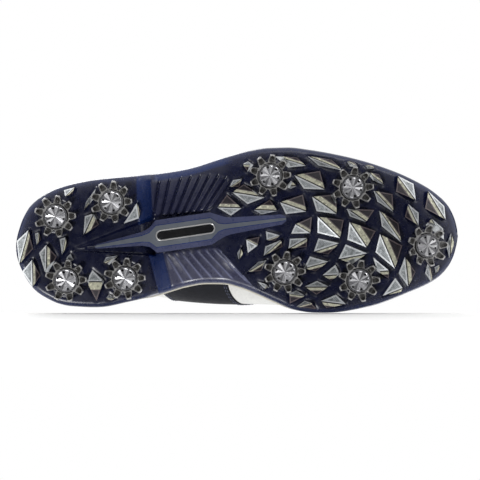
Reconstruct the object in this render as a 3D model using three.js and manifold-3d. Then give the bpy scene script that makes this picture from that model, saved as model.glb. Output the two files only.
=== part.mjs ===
// A right golf shoe, about EU 42, standing on the tips of its removable cleats.
//
// Millimetres. +X points to the toe, +Y to the inner (medial) side and +Z up, and the origin is on the
// ground under the middle of the shoe's bounding box.
//
// Places in plan are given on the sole sheet: u runs forward along the sole from a line just behind the
// heel, and v runs out to the outer (lateral) side from the sole's long axis. Heights z are above the
// ground. onPlan and inSpace turn sheet places into the part's own x, y and z.

import * as THREE from 'three';
import { ConvexGeometry } from 'three/addons/geometries/ConvexGeometry.js';
import { mergeVertices } from 'three/addons/utils/BufferGeometryUtils.js';
import Module from 'manifold-3d';

const wasm = await Module();
wasm.setup();
const { Manifold, Mesh: ManifoldMesh } = wasm;

// ---------------------------------------------------------------- driving dimensions

const sheetMiddleU = 154.3;
const sheetMiddleV = 2.3;
const fitGap = 0.3;

const cleatHeight = 6; // from the tread face down to the ground
const lugHeight = 4;
const archLift = 8;
const toeLift = 9;
const toeSpringFrom = 235;
const soleEndU = 302;

const outsoleThickness = 4.5;
const treadSkin = 2.8; // the navy face in front of the lug plates
const lugPlateInset = 2.2;
const midsoleOverhang = 0.8;
const boardThickness = 2;
const socklinerThickness = 4;
const weltThickness = 2.2;
const weltInset = 0.6;

const leatherThickness = 2;
const counterThickness = 1.5;
const puffThickness = 1.2;
const collarPadDepth = 8.2; // from the upper's outer face to the padding's inner face
const liningDepth = 4.9;
const liningThickness = 1;
const tongueDepth = 5.9;
const tongueThickness = 3.7;
const boardEdgeDepth = 2.4;
const socklinerEdgeDepth = 8.4;
const heelEndU = 11;
const toeEndU = 299.5;

const cleatClearance = 15.2;
const cleatStations = [
  ['heel_outer_rear', 34.5, 18.6],
  ['heel_inner_rear', 39.6, -24],
  ['heel_outer_front', 72, 26.5],
  ['heel_inner_front', 78.5, -24.5],
  ['ball_outer_rear', 177.7, 39.2],
  ['ball_inner_rear', 184.5, -25],
  ['ball_outer_front', 232, 28.8],
  ['ball_inner_front', 233.4, -33],
  ['toe', 279.5, -11.8],
];

// ---------------------------------------------------------------- sheet places and simple curves

function onPlan([u, v]) {
  return new THREE.Vector2(u - sheetMiddleU, sheetMiddleV - v);
}

function inSpace(u, v, z) {
  return new THREE.Vector3(u - sheetMiddleU, sheetMiddleV - v, z);
}

function smoothstep(from, to, value) {
  return THREE.MathUtils.smoothstep(value, from, to);
}

// A smooth curve through the points that never overshoots them (monotone cubic).
function curveThrough(points) {
  const xs = points.map((p) => p[0]);
  const ys = points.map((p) => p[1]);
  const steps = xs.slice(1).map((x, i) => (ys[i + 1] - ys[i]) / (x - xs[i]));
  const slopes = ys.map((_, i) => {
    if (i === 0) return steps[0];
    if (i === ys.length - 1) return steps[i - 1];
    const [before, after] = [steps[i - 1], steps[i]];
    return before * after <= 0 ? 0 : (2 * before * after) / (before + after);
  });
  return (x) => {
    const at = THREE.MathUtils.clamp(x, xs[0], xs[xs.length - 1]);
    let i = 0;
    while (i < xs.length - 2 && at > xs[i + 1]) i += 1;
    const width = xs[i + 1] - xs[i];
    const t = (at - xs[i]) / width;
    const rise = 3 * t * t - 2 * t * t * t;
    const leave = (t - 2 * t * t + t * t * t) * width * slopes[i];
    const arrive = (t * t * t - t * t) * width * slopes[i + 1];
    return ys[i] + (ys[i + 1] - ys[i]) * rise + leave + arrive;
  };
}

// ---------------------------------------------------------------- solids

function solid(geometry) {
  const bare = geometry.index ? geometry.toNonIndexed() : geometry.clone();
  for (const name of Object.keys(bare.attributes)) {
    if (name !== 'position') bare.deleteAttribute(name);
  }
  const merged = mergeVertices(bare, 1e-4);
  return new Manifold(
    new ManifoldMesh({
      numProp: 3,
      vertProperties: Float32Array.from(merged.attributes.position.array),
      triVerts: Uint32Array.from(merged.index.array),
    }),
  );
}

function geometryOf(body) {
  const { vertProperties, triVerts } = body.getMesh();
  const geometry = new THREE.BufferGeometry();
  geometry.setAttribute('position', new THREE.BufferAttribute(vertProperties, 3));
  geometry.setIndex(new THREE.BufferAttribute(triVerts, 1));
  geometry.computeVertexNormals();
  return geometry;
}

function joined(bodies) {
  return bodies.reduce((sum, body) => sum.add(body));
}

function planPrism(points, fromZ, toZ) {
  const geometry = new THREE.ExtrudeGeometry(new THREE.Shape(points), {
    depth: toZ - fromZ,
    bevelEnabled: false,
  });
  return solid(geometry.translate(0, 0, fromZ));
}

function sheetPrism(sheetPoints, fromZ, toZ) {
  return planPrism(sheetPoints.map(onPlan), fromZ, toZ);
}

const reach = 90; // side blocks run this far to both sides

// A block through the whole width, from its outline as seen from the side, in u and z.
function sideBlock(outline) {
  const shape = new THREE.Shape(outline.map(([u, z]) => new THREE.Vector2(u - sheetMiddleU, z)));
  const geometry = new THREE.ExtrudeGeometry(shape, { depth: 2 * reach, bevelEnabled: false });
  return solid(geometry.rotateX(Math.PI / 2).translate(0, reach, 0));
}

function convex(points) {
  return solid(new ConvexGeometry(points));
}

// A closed body through rings of equal count, with a fan over each end.
function loft(rings) {
  const count = rings[0].length;
  const points = rings.flat();
  const faces = [];
  for (let i = 0; i + 1 < rings.length; i += 1) {
    for (let j = 0; j < count; j += 1) {
      const [a, b] = [i * count + j, i * count + ((j + 1) % count)];
      faces.push(a, b, b + count, a, b + count, a + count);
    }
  }
  for (const [ring, start] of [[0, 0], [rings.length - 1, (rings.length - 1) * count]]) {
    const middle = new THREE.Vector3();
    rings[ring].forEach((p) => middle.addScaledVector(p, 1 / count));
    points.push(middle);
    for (let j = 0; j < count; j += 1) {
      const [a, b] = [start + j, start + ((j + 1) % count)];
      faces.push(...(ring === 0 ? [b, a, points.length - 1] : [a, b, points.length - 1]));
    }
  }
  const geometry = new THREE.BufferGeometry().setFromPoints(points);
  geometry.setIndex(faces);
  return solid(geometry);
}

// ---------------------------------------------------------------- the sole's heights and outline

function treadHeight(u) {
  const arch = archLift * smoothstep(90, 103, u) * (1 - smoothstep(112, 150, u));
  const spring = Math.max(0, u - toeSpringFrom) / (soleEndU - toeSpringFrom);
  return cleatHeight + arch + toeLift * spring * spring;
}

const soleTop = curveThrough([
  [0, 26.5], [60, 26], [110, 23.5], [160, 19.5], [215, 17.5], [250, 18.4], [302, 27],
]);

const soleStations = [
  -5, 45, 90, 93, 97, 103, 112, 119, 126, 133, 140, 150, 180, 210, 235, 248, 260, 271, 281, 291, 301, 312,
];

// The space between two heights that vary along the sole.
function soleLayer(bottomAt, topAt, fromU = -5, toU = 312) {
  const stations = [fromU, ...soleStations.filter((u) => u > fromU && u < toU), toU];
  const floor = stations.map((u) => [u, bottomAt(u)]);
  const roof = stations.map((u) => [u, topAt(u)]).reverse();
  return sideBlock([...floor, ...roof]);
}

const soleOutlineSheet = [
  [7, -1], [9.6, 12], [18, 27], [36.9, 37.8], [62, 42.3], [92, 43.8], [120.9, 46.6], [149.2, 53.3],
  [177.2, 58], [205, 55.5], [232.5, 48.9], [260, 39], [281, 28], [295.4, 15.5], [301.6, -2], [299.6, -15],
  [293.5, -27.6], [284.5, -35.2], [265.6, -42.9], [240, -50.6], [215, -53.5], [190.9, -50.8], [176, -44],
  [165, -38.4], [155, -34], [143, -30.6], [131, -30.1], [118, -31.8], [98, -36.8], [80, -40.2], [61.2, -42.9],
  [42.6, -41.5], [26, -35.5], [14, -24], [8.6, -12],
];

const soleOutline = new THREE.CatmullRomCurve3(
  soleOutlineSheet.map(([u, v]) => inSpace(u, v, 0)), true, 'centripetal',
).getSpacedPoints(60).slice(0, -1).map((p) => new THREE.Vector2(p.x, p.y));

// Moves an outline inward by a distance, or outward by a negative one.
function inset(outline, distance) {
  const side = THREE.ShapeUtils.area(outline) > 0 ? 1 : -1;
  return outline.map((point, i) => {
    const before = outline[(i + outline.length - 1) % outline.length];
    const after = outline[(i + 1) % outline.length];
    const along = after.clone().sub(before).normalize();
    return new THREE.Vector2(point.x - along.y * distance * side, point.y + along.x * distance * side);
  });
}

// ---------------------------------------------------------------- tread lugs

// Each lug: the two ends of its ridge, the foot of its light face, the foot of its dark face and the
// width of the flat strip along the ridge. Places are on the sole sheet.
const heelLugs = [
  [[16.4, 10.5], [9.3, -11.7], [7.8, 3.6], [18.5, -2], 2],
  [[17.9, -9.2], [17.4, -27.3], [10.5, -16.7], [22.5, -20], 2],
  [[27.8, 0.2], [26.6, -19.9], [22.3, -4.9], [34, -8], 2.5],
  [[23, 8.7], [21.4, 0.5], [20.2, 8], [24.2, 4], 0.8],
  [[40.6, 4.6], [37.9, -6.6], [36.3, 3.7], [41.5, -1], 1.2],
  [[40.1, -9.6], [45, -10.5], [43.1, -6.2], [43, -11.6], 0.8],
  [[48.2, 37.4], [41.6, 31.7], [40.7, 36], [46.5, 33.4], 1],
  [[53.7, 22.3], [61.8, 36], [55, 27.5], [59.5, 28.5], 1],
  [[59.7, 19.5], [52.7, 5.7], [53.7, 18], [63, 12], 3],
  [[53.3, -25], [64.5, -25.5], [57.1, -17.8], [59, -38.5], 5.5],
  [[65.1, -12.9], [74.8, -9.1], [66.5, -9.6], [68.5, -15], 1.2],
  [[65.7, -36.7], [71.4, -37.3], [67.5, -34.3], [68.8, -39], 0.8],
  [[88.7, 25], [89.7, 15], [79.3, 12], [91, 20], 0.8],
];
const forefootLugs = [
  [[150.5, 33], [159, 38], [153, 37.5], [157, 33], 1],
  [[160, 47.6], [167, 47], [163.5, 49.5], [163, 42.5], 1.5],
  [[152.3, 29.3], [173.3, 24.9], [162, 21.2], [160, 34.5], 2.5],
  [[142, 19.7], [157.8, 18.6], [150.6, 14], [148.5, 28], 2.5],
  [[166, 17], [181.4, 15.7], [171, 14], [177, 23.5], 3.5],
  [[188, 31.5], [195, 31.5], [191, 30], [191.5, 35.4], 2.5],
  [[181.5, 52], [201.6, 44.7], [190.1, 44.2], [196, 50.5], 1.5],
  [[203.2, 51], [225.6, 40.7], [210.3, 44.6], [219, 48], 1.5],
  [[193.9, 38.7], [213.3, 28.5], [199.8, 29.6], [211, 41], 3.5],
  [[183.5, 21.3], [200.5, 14.4], [187.1, 13.4], [199, 25.8], 3],
  [[204.9, 24], [220.5, 11.9], [207.6, 14.4], [221, 25], 3.5],
  [[193, 6.3], [202.5, 0], [190, 0.3], [204.3, 10.8], 2],
  [[208, 10.6], [221.9, -4.1], [207.5, 0], [225.3, 7.8], 3.5],
  [[229, 46.3], [236, 42], [231, 43.2], [234.5, 45.5], 0.8],
  [[240.9, 43.2], [247, 41], [243, 40.6], [245.4, 43.2], 0.7],
  [[242, 38.5], [252.5, 30], [246, 33], [250, 37], 1.5],
  [[246, 26], [258.1, 11.7], [248.2, 19], [258.5, 23.5], 2],
  [[227.5, 14.9], [239.7, 5.8], [229.4, 10], [246, 13.5], 3],
  [[228.8, 6.1], [239.2, -11], [227.1, -5.4], [246.2, -0.5], 4.5],
  [[249, 12.7], [262.4, -8.5], [250.4, 2.5], [261.5, 4], 1.5],
  [[248.6, -2.8], [257.4, -25.9], [245.4, -14.6], [263.5, -11], 3.5],
  [[262.4, 35.2], [273.6, 18.8], [272.9, 29.8], [261, 25], 2],
  [[282.3, 24.3], [293.2, 5], [293.2, 14], [280, 13], 2.5],
  [[268.4, 16.2], [274.6, 2], [275.6, 10.3], [266, 8], 2],
  [[283.8, 5.9], [292, -8.4], [291.6, -0.8], [280, 2], 2],
  [[296.6, -4.6], [294.6, -20.6], [293.4, -12], [298.4, -11], 2.2],
  [[182.3, -0.5], [173.6, -3.2], [173.3, 2.6], [179, -4], 0.8],
  [[160, -2.4], [167.2, -6.7], [160.7, -11.2], [169, -0.8], 1],
  [[182.9, -3.7], [171.1, -13.5], [172.5, -7.4], [184, -8], 1.5],
  [[200.2, -3.1], [187.7, -9.5], [189, -3.1], [200, -9], 2],
  [[221.3, -7.5], [204.4, -12.3], [207.9, -3.7], [214, -14.5], 2],
  [[213.5, -19.4], [197.4, -22.9], [201.7, -15.4], [205, -25.5], 2],
  [[221, -28], [209.4, -28.2], [218.4, -21.7], [215, -32], 2.5],
  [[213, -35.8], [197.4, -35.1], [205.8, -31.8], [205, -41], 2.5],
  [[197.2, -41.2], [187, -39.3], [191.7, -37.5], [187, -46], 1.5],
  [[223.9, -48], [207.7, -45.2], [218, -41.5], [211, -50], 2.5],
  [[201, -46], [191.3, -48.1], [197, -44.6], [204.5, -50.4], 1],
  [[172.2, -32.5], [170.6, -35.2], [166.3, -30.6], [173.5, -35], 0.8],
  [[172.8, -16.5], [159.8, -23.6], [167.5, -17.4], [169, -23.6], 1.5],
  [[155.9, -7.7], [154.5, -15.5], [153.6, -11], [157.6, -11.5], 2],
  [[239.5, -15.1], [220.5, -17.9], [225.8, -8.5], [230, -21.5], 2.8],
  [[253.3, -26.9], [245.7, -27], [243.8, -18.1], [253.4, -32.5], 2.5],
  [[262, -39], [248.6, -43.6], [257.8, -32.3], [261, -41.5], 2],
  [[264.6, -18.7], [265.8, -38.1], [260.2, -29.2], [271.5, -29], 3],
  [[280, -24], [281.7, -36], [278, -30], [283, -29], 0.8],
  [[287.5, -25], [285, -30], [284.6, -26.5], [287.6, -28.4], 0.7],
];

// The flat strip's far corners lie on the dark face's two sides, at the strip's width from the ridge.
function stripCorners([[pu, pv], [qu, qv], , [du, dv], width]) {
  const length = Math.hypot(qu - pu, qv - pv);
  const depth = Math.abs((qu - pu) * (dv - pv) - (qv - pv) * (du - pu)) / length;
  const share = Math.min(width / depth, 0.9);
  return [
    [pu + (du - pu) * share, pv + (dv - pv) * share],
    [qu + (du - qu) * share, qv + (dv - qv) * share],
  ];
}

function footOf([ridgeStart, ridgeEnd, lightFoot, darkFoot]) {
  return [ridgeStart, lightFoot, ridgeEnd, darkFoot];
}

function lugBody(lug) {
  const [ridgeStart, ridgeEnd] = lug;
  const crest = [ridgeStart, ridgeEnd, ...stripCorners(lug)];
  const foot = footOf(lug);
  return convex([
    ...crest.map(([u, v]) => inSpace(u, v, treadHeight(u) - lugHeight)),
    ...foot.map(([u, v]) => inSpace(u, v, treadHeight(u))),
    ...foot.map(([u, v]) => inSpace(u, v, treadHeight(u) + treadSkin + 1)),
  ]);
}

const sharpestSine = 0.35; // a sharper corner isn't moved out any further

// The foot of a lug with each corner moved out, so that a window round it clears it by the fit gap.
function grownFoot(lug) {
  const foot = convexOrder(footOf(lug));
  return foot.map(([u, v], i) => {
    const before = foot[(i + foot.length - 1) % foot.length];
    const after = foot[(i + 1) % foot.length];
    const a = new THREE.Vector2(u - before[0], v - before[1]).normalize();
    const b = new THREE.Vector2(u - after[0], v - after[1]).normalize();
    const sine = Math.max(Math.abs(a.x * b.y - a.y * b.x), sharpestSine);
    const out = a.add(b).multiplyScalar((fitGap * 1.15) / sine);
    return [u + out.x, v + out.y];
  });
}

// Corners of a convex outline in order round its middle.
function convexOrder(corners) {
  const middleU = corners.reduce((sum, [u]) => sum + u, 0) / corners.length;
  const middleV = corners.reduce((sum, [, v]) => sum + v, 0) / corners.length;
  const angle = ([u, v]) => Math.atan2(v - middleV, u - middleU);
  return [...corners].sort((a, b) => angle(a) - angle(b));
}

function lugWindow(lug) {
  const corners = grownFoot(lug);
  return convex([
    ...corners.map(([u, v]) => inSpace(u, v, treadHeight(u) - 2)),
    ...corners.map(([u, v]) => inSpace(u, v, treadHeight(u) + treadSkin + 0.8)),
  ]);
}

// ---------------------------------------------------------------- sole parts

const heelPlateSheet = [[0, -60], [86, -60], [86, -7], [94, 8], [94, 60], [0, 60]];
const forefootPlateSheet = [[139, 60], [139, 10], [147, -5], [166, -60], [310, -60], [310, 60]];

const belowSole = -10;
const aboveSole = 60;

function plateArea(sheet, shrink) {
  const edge = planPrism(inset(soleOutline, lugPlateInset + shrink), belowSole, aboveSole);
  return edge.intersect(planPrism(inset(sheet.map(onPlan), shrink), belowSole, aboveSole));
}

// Turns and moves something made round a cleat's own seat to where that cleat stands on the tread.
function stationMatrix(u, v) {
  const slope = Math.atan((treadHeight(u + 1) - treadHeight(u - 1)) / 2);
  const place = inSpace(u, v, treadHeight(u));
  return new THREE.Matrix4().makeTranslation(place.x, place.y, place.z)
    .multiply(new THREE.Matrix4().makeRotationY(-slope));
}

// Round bars on every cleat's axis, between two heights above the tread.
function cleatBars(radius, from, to, sides) {
  return joined(
    cleatStations.map(([, u, v]) => {
      const geometry = new THREE.CylinderGeometry(radius, radius, to - from, sides);
      geometry.rotateX(Math.PI / 2).translate(0, 0, (from + to) / 2);
      return solid(geometry.applyMatrix4(stationMatrix(u, v)));
    }),
  );
}

const receptacleRadius = 9.4;
const receptacleDepth = 8.2;
const receptacleBoreRadius = 5;
const receptacleBoreDepth = 6.6;
const receptacleRoom = 0.5;
const holeReach = 12; // far enough to pass through the outsole on both sides
const receptacleHole = cleatBars(receptacleRadius + receptacleRoom, -holeReach, holeReach, 16);
const receptaclePocket = cleatBars(receptacleRadius + receptacleRoom, -holeReach, receptacleDepth + 0.8, 16);

function lugPlate(sheet, lugs) {
  const plateBottom = treadSkin + fitGap;
  const layer = soleLayer((u) => treadHeight(u) + plateBottom, (u) => treadHeight(u) + outsoleThickness);
  const legRoom = cleatBars(cleatClearance, -holeReach, 0.2, 20);
  const raised = joined(lugs.map(lugBody)).subtract(legRoom);
  const area = plateArea(sheet, fitGap);
  return layer.add(raised).intersect(area).subtract(receptacleHole);
}

const bridgeFaceHeight = 5.4;
const bridgeSeat = 1.2; // how deep the bridge sits in the outsole
const bridgeFrom = [96, 2];
const bridgeTo = [142, 6.6];
const housingHalfWidth = 8.4;
const housingPoint = 4;

// A straight bar on the sole sheet, as four or six corners round its centre line.
function barCorners([fromU, fromV], [toU, toV], fromHalf, toHalf, point = 0) {
  const length = Math.hypot(toU - fromU, toV - fromV);
  const [au, av] = [(toU - fromU) / length, (toV - fromV) / length];
  const corners = [
    [fromU - av * fromHalf, fromV + au * fromHalf],
    [toU - av * toHalf, toV + au * toHalf],
    [toU + av * toHalf, toV - au * toHalf],
    [fromU + av * fromHalf, fromV - au * fromHalf],
  ];
  if (point === 0) return corners;
  return [
    [fromU - au * point, fromV - av * point], corners[0], corners[1],
    [toU + au * point, toV + av * point], corners[2], corners[3],
  ];
}

function bridgeBlank(grow) {
  const half = housingHalfWidth + grow;
  const housing = barCorners(bridgeFrom, bridgeTo, half, half, housingPoint + grow);
  const rear = barCorners([60, -2.4], [97, 2.1], 1.2 + grow, 4 + grow);
  const front = barCorners([140, 6.5], [186, 10.2], 4.6 + grow, 3.4 + grow);
  return joined([housing, rear, front].map((corners) => sheetPrism(corners, -5, 40)));
}

function bridgeBody() {
  const layer = soleLayer(() => bridgeFaceHeight, (u) => treadHeight(u) + bridgeSeat);
  return bridgeBlank(0).intersect(layer);
}

function bridgePocket() {
  const layer = soleLayer(() => -5, (u) => treadHeight(u) + bridgeSeat + fitGap);
  return bridgeBlank(fitGap).intersect(layer);
}

// A bar with round ends, centred on the bridge housing.
function stadium(length, width, fromZ, toZ) {
  const centre = [(bridgeFrom[0] + bridgeTo[0]) / 2 + 1, (bridgeFrom[1] + bridgeTo[1]) / 2 + 0.3];
  const radius = width / 2;
  const straight = length / 2 - radius;
  const shape = new THREE.Shape();
  shape.absarc(straight, 0, radius, -Math.PI / 2, Math.PI / 2, false);
  shape.absarc(-straight, 0, radius, Math.PI / 2, (3 * Math.PI) / 2, false);
  const geometry = new THREE.ExtrudeGeometry(shape, {
    depth: toZ - fromZ, bevelEnabled: false, curveSegments: 6,
  });
  const turn = -Math.atan2(bridgeTo[1] - bridgeFrom[1], bridgeTo[0] - bridgeFrom[0]);
  const place = inSpace(centre[0], centre[1], fromZ);
  return solid(geometry.rotateZ(turn).translate(place.x, place.y, place.z));
}

const outerRibs = [
  [[103.5, 38], [101, 17]], [[109.7, 39], [106, 17]], [[115.8, 40], [111, 17]], [[121.8, 41], [115.5, 17]],
  [[127.5, 42.5], [120, 17]], [[133, 43.5], [125, 18]], [[138.6, 44], [129.5, 19]], [[144, 43.5], [134, 20]],
  [[149, 42], [138.5, 22]],
];
const innerRibs = [
  [[111.9, -10.4], [121, -27]], [[117, -9.8], [128, -25.8]], [[122.4, -9.2], [134, -25.2]],
  [[128, -8.6], [141.5, -25.6]], [[133.3, -8], [148, -26.2]], [[138.6, -7.6], [155, -26.6]],
];

const ribHalfWidth = 0.9;
const ribHeight = 1.4;

function ribs() {
  const bars = [...outerRibs, ...innerRibs].map(([from, to]) => (
    sheetPrism(barCorners(from, to, ribHalfWidth, ribHalfWidth), -5, 40)
  ));
  return joined(bars).intersect(soleLayer((u) => treadHeight(u) - ribHeight, (u) => treadHeight(u) + 1));
}

function outsoleBody() {
  const slab = planPrism(soleOutline, belowSole, aboveSole)
    .intersect(soleLayer(treadHeight, (u) => treadHeight(u) + outsoleThickness));
  const pockets = soleLayer((u) => treadHeight(u) + treadSkin, () => aboveSole);
  const plates = plateArea(heelPlateSheet, 0).add(plateArea(forefootPlateSheet, 0)).intersect(pockets);
  const windows = joined([...heelLugs, ...forefootLugs].map(lugWindow))
    .intersect(planPrism(inset(soleOutline, lugPlateInset), belowSole, aboveSole));
  return slab.add(ribs()).subtract(plates).subtract(windows).subtract(bridgePocket())
    .subtract(receptacleHole);
}

const shankFrom = [72, -1];
const shankTo = [166, -1];
const shankHalfWidth = 7;
const shankThickness = 1.8;
const shankBelowTop = 0.2;

function midsoleBody() {
  const layer = soleLayer((u) => treadHeight(u) + outsoleThickness + fitGap, soleTop);
  const slotHalf = shankHalfWidth + fitGap;
  const slotDepth = shankBelowTop + shankThickness + 0.4;
  const slot = sheetPrism(barCorners(shankFrom, shankTo, slotHalf, slotHalf, fitGap), 0, aboveSole)
    .intersect(soleLayer((u) => soleTop(u) - slotDepth, () => aboveSole));
  return planPrism(inset(soleOutline, -midsoleOverhang), belowSole, aboveSole).intersect(layer)
    .subtract(receptaclePocket).subtract(slot);
}

function shankPlateBody() {
  const plan = sheetPrism(barCorners(shankFrom, shankTo, shankHalfWidth, shankHalfWidth), 0, aboveSole);
  const bottomAt = (u) => soleTop(u) - shankBelowTop - shankThickness;
  return plan.intersect(soleLayer(bottomAt, (u) => soleTop(u) - shankBelowTop));
}

// ---------------------------------------------------------------- the last, which shapes the upper

// Extents to the outer and inner side, and heights, along the foot.
const last = {
  outer: curveThrough([
    [11, 2.5], [12, 11], [14, 17.5], [17, 22], [22, 26.5], [35, 32], [60, 34.5], [90, 35.5], [110, 37.5],
    [130, 41.5], [150, 46.5], [175, 51.5], [195, 52], [215, 49.5], [235, 44.5], [255, 37.5], [270, 31],
    [283, 23.5], [292, 15], [297, 7], [299.5, -2],
  ]),
  inner: curveThrough([
    [11, -4], [12, -12], [14, -19], [17, -23.5], [22, -28], [35, -33], [60, -35.5], [90, -37], [105, -40.5],
    [125, -43.5], [140, -45], [155, -46], [170, -47], [190, -48.5], [215, -49], [235, -46.5], [255, -41.5],
    [270, -36.5], [283, -30.5], [292, -24], [297, -17.5], [299.5, -10],
  ]),
  // how far the inner side is tucked in under the arch, at the sole
  tuck: curveThrough([
    [11, 0.5], [60, 2], [85, 3], [95, 5], [105, 10], [115, 14], [125, 16.5], [140, 18], [155, 15.5],
    [165, 9.5], [175, 5], [190, 2.5], [299, 1],
  ]),
  ridge: curveThrough([[11, -1], [100, -1], [150, -2], [200, -4], [250, -6], [299.5, -6]]),
  top: curveThrough([
    [11, 58], [12, 72], [14, 88], [17, 104], [22, 124], [35, 142], [60, 148], [85, 144], [100, 133],
    [110, 123.5], [120, 115], [140, 101.5], [155, 92.5], [170, 84.5], [185, 77.5], [200, 72], [220, 66.5],
    [240, 63], [260, 60], [275, 56.5], [285, 52], [292, 47], [297, 41], [299.5, 36],
  ]),
  // how far the heel's round back and the toe's tip start above the sole
  lift: curveThrough([[11, 16], [12, 8.5], [14, 3], [17, 0.6], [20, 0], [295, 0], [299.5, 1.5]]),
  // height of the widest line above the sole
  waist: curveThrough([
    [11, 6], [17, 16], [35, 22], [100, 24], [150, 20], [200, 15], [260, 13], [290, 9], [299.5, 4],
  ]),
  fullness: curveThrough([[11, 1], [100, 1], [150, 0.9], [220, 0.78], [299.5, 0.78]]),
};

const lastStations = [
  11, 12, 14, 17, 22, 29, 38, 50, 62, 75, 88, 100, 110, 120, 132, 145, 158, 172, 186, 200, 215, 230, 245, 258,
  270, 280, 288, 293.5, 297, 299.5,
];
const coarseStations = [11, 14, 17, 22, 38, 62, 88, 110, 132, 158, 186, 215, 245, 270, 288, 295.5, 299.5];
const belowWaist = 2; // steps round a section below its widest line, and above it
const aboveWaist = 5;
const topLowering = 1.15; // how much the section's top comes down for each millimetre of depth
const openBelow = 7;

// One side of a section, from the sole up to the ridge, as pairs of v and z.
function sideOfSection(u, widest, base, depth) {
  const bottom = soleTop(u) + fitGap + last.lift(u);
  const waist = bottom + last.waist(u);
  const [ridge, top, fullness] = [last.ridge(u), last.top(u) - depth * topLowering, last.fullness(u)];
  const points = [];
  for (let i = 0; i < belowWaist; i += 1) {
    const turn = (i / belowWaist) * (Math.PI / 2);
    points.push([base + (widest - base) * Math.sin(turn), bottom + (waist - bottom) * (i / belowWaist)]);
  }
  for (let i = 0; i < aboveWaist; i += 1) {
    const turn = (i / aboveWaist) * (Math.PI / 2);
    const share = Math.cos(turn) ** fullness;
    points.push([ridge + (widest - ridge) * share, waist + (top - waist) * Math.sin(turn) ** fullness]);
  }
  return { points, ridge: [ridge, top], foot: [base, bottom] };
}

// The last's section at u, moved in by depth from the upper's outer face. An open one runs on downward
// through the sole, so that what it cuts is open below.
function lastSection(u, depth, open) {
  const middle = (heelEndU + toeEndU) / 2;
  const placedU = middle + (u - middle) * (1 - depth / (toeEndU - middle));
  const ridge = last.ridge(u);
  const outerWide = Math.max(last.outer(u) - depth, ridge + 1);
  const innerWide = Math.min(last.inner(u) + depth, ridge - 1);
  const innerBase = Math.min(last.inner(u) + last.tuck(u) + depth, ridge - 0.8);
  const outerBase = Math.max(outerWide - 1, ridge + 0.8);
  const outer = sideOfSection(u, outerWide, outerBase, depth);
  const inner = sideOfSection(u, innerWide, innerBase, depth);
    const ring = [
    ...(open ? [[inner.foot[0], inner.foot[1] - openBelow]] : []),
    ...inner.points, inner.ridge, ...outer.points.reverse(),
    ...(open ? [[outer.foot[0], outer.foot[1] - openBelow]] : []),
  ];
  return ring.map(([v, z]) => inSpace(placedU, v, z));
}

function lastBody(depth, open = false, stations = lastStations) {
  return loft(stations.map((u) => lastSection(u, depth, open)));
}

function shell(fromDepth, toDepth, stations = lastStations) {
  return lastBody(fromDepth, false, stations).subtract(lastBody(toDepth, true, stations));
}

function lastBase(depth) {
  const outer = lastStations.map((u) => lastSection(u, depth, false));
  const sides = [outer.map((ring) => ring[0]), outer.map((ring) => ring[ring.length - 1]).reverse()];
  return sides.flat().map((p) => new THREE.Vector2(p.x, p.y));
}

// Height of the upper's outer face at a place between the ridge and the outer or inner side.
function faceHeight(u, v) {
  const [ridge, fullness] = [last.ridge(u), last.fullness(u)];
  const widest = v > ridge ? last.outer(u) : last.inner(u);
  const share = Math.min((v - ridge) / (widest - ridge), 1);
  const turn = Math.acos(share ** (1 / fullness));
  const waist = soleTop(u) + fitGap + last.lift(u) + last.waist(u);
  return waist + (last.top(u) - waist) * Math.sin(turn) ** fullness;
}

// ---------------------------------------------------------------- upper: seams, topline and throat

// Seams as seen from the side, in u and z, from the sole up.
const backSeam = [[25, 5], [22, 40], [22, 60], [29, 76], [33, 120], [33, 220]];
const saddleRearSeam = [[101, 5], [102, 28], [108, 46], [111, 64], [107, 84], [99, 112], [90, 220]];
const saddleFrontSeam = [
  [143, 5], [145, 24], [154, 38], [169, 52], [187, 64], [197, 76], [200, 95], [200, 220],
];
const topline = [
  [-20, 101], [13, 101], [22, 98.5], [40, 88], [58, 83.5], [76, 86], [92, 96], [103, 106.5], [111, 112],
];
const seamGap = fitGap * 0.8;

function between(rearSeam, frontSeam) {
  const rear = rearSeam.map(([u, z]) => [u + seamGap, z]);
  const front = frontSeam.map(([u, z]) => [u - seamGap, z]);
  return sideBlock([...front, ...rear.reverse()]);
}

const behind = [[-20, 5], [-20, 220]];
const ahead = [[320, 5], [320, 220]];
const aboveTopline = sideBlock([...topline, [118, 220], [-20, 220]]);

const throatHalf = curveThrough([[90, 15], [104, 14], [120, 11.5], [150, 9], [186, 6.5], [194, 2.5]]);

// A strip along the ridge, wide on both sides by what halfAt says.
function ridgeStrip(fromU, toU, halfAt) {
  const stations = [];
  for (let u = fromU; u < toU; u += 12) stations.push(u);
  stations.push(toU);
  const outer = stations.map((u) => [u, last.ridge(u) + halfAt(u)]);
  const inner = stations.map((u) => [u, last.ridge(u) - halfAt(u)]).reverse();
  return sheetPrism([...outer, ...inner], 30, 220);
}

function sideHalf(side) {
  const edge = [0, 100, 150, 200, 250, 310].map((u) => [u, last.ridge(u) + side * 0.2]);
  return sheetPrism([...edge, [310, side * 80], [0, side * 80]], 0, 220);
}

const eyeletRows = [118, 135, 152, 169, 185];
const eyeletFromThroat = 7;
const eyeletRadius = 2.9;

function eyeletV(u, side) {
  return last.ridge(u) + side * (throatHalf(u) + eyeletFromThroat);
}

function eyeletPlace(u, side) {
  const v = eyeletV(u, side);
  return inSpace(u, v, faceHeight(u, v));
}

function outwardAt(u, side) {
  const v = eyeletV(u, side);
  const step = 0.5;
  const alongU = (faceHeight(u + step, v) - faceHeight(u - step, v)) / (2 * step);
  const alongV = (faceHeight(u, v + step) - faceHeight(u, v - step)) / (2 * step);
  return new THREE.Vector3(-alongU, alongV, 1).normalize();
}

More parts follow.
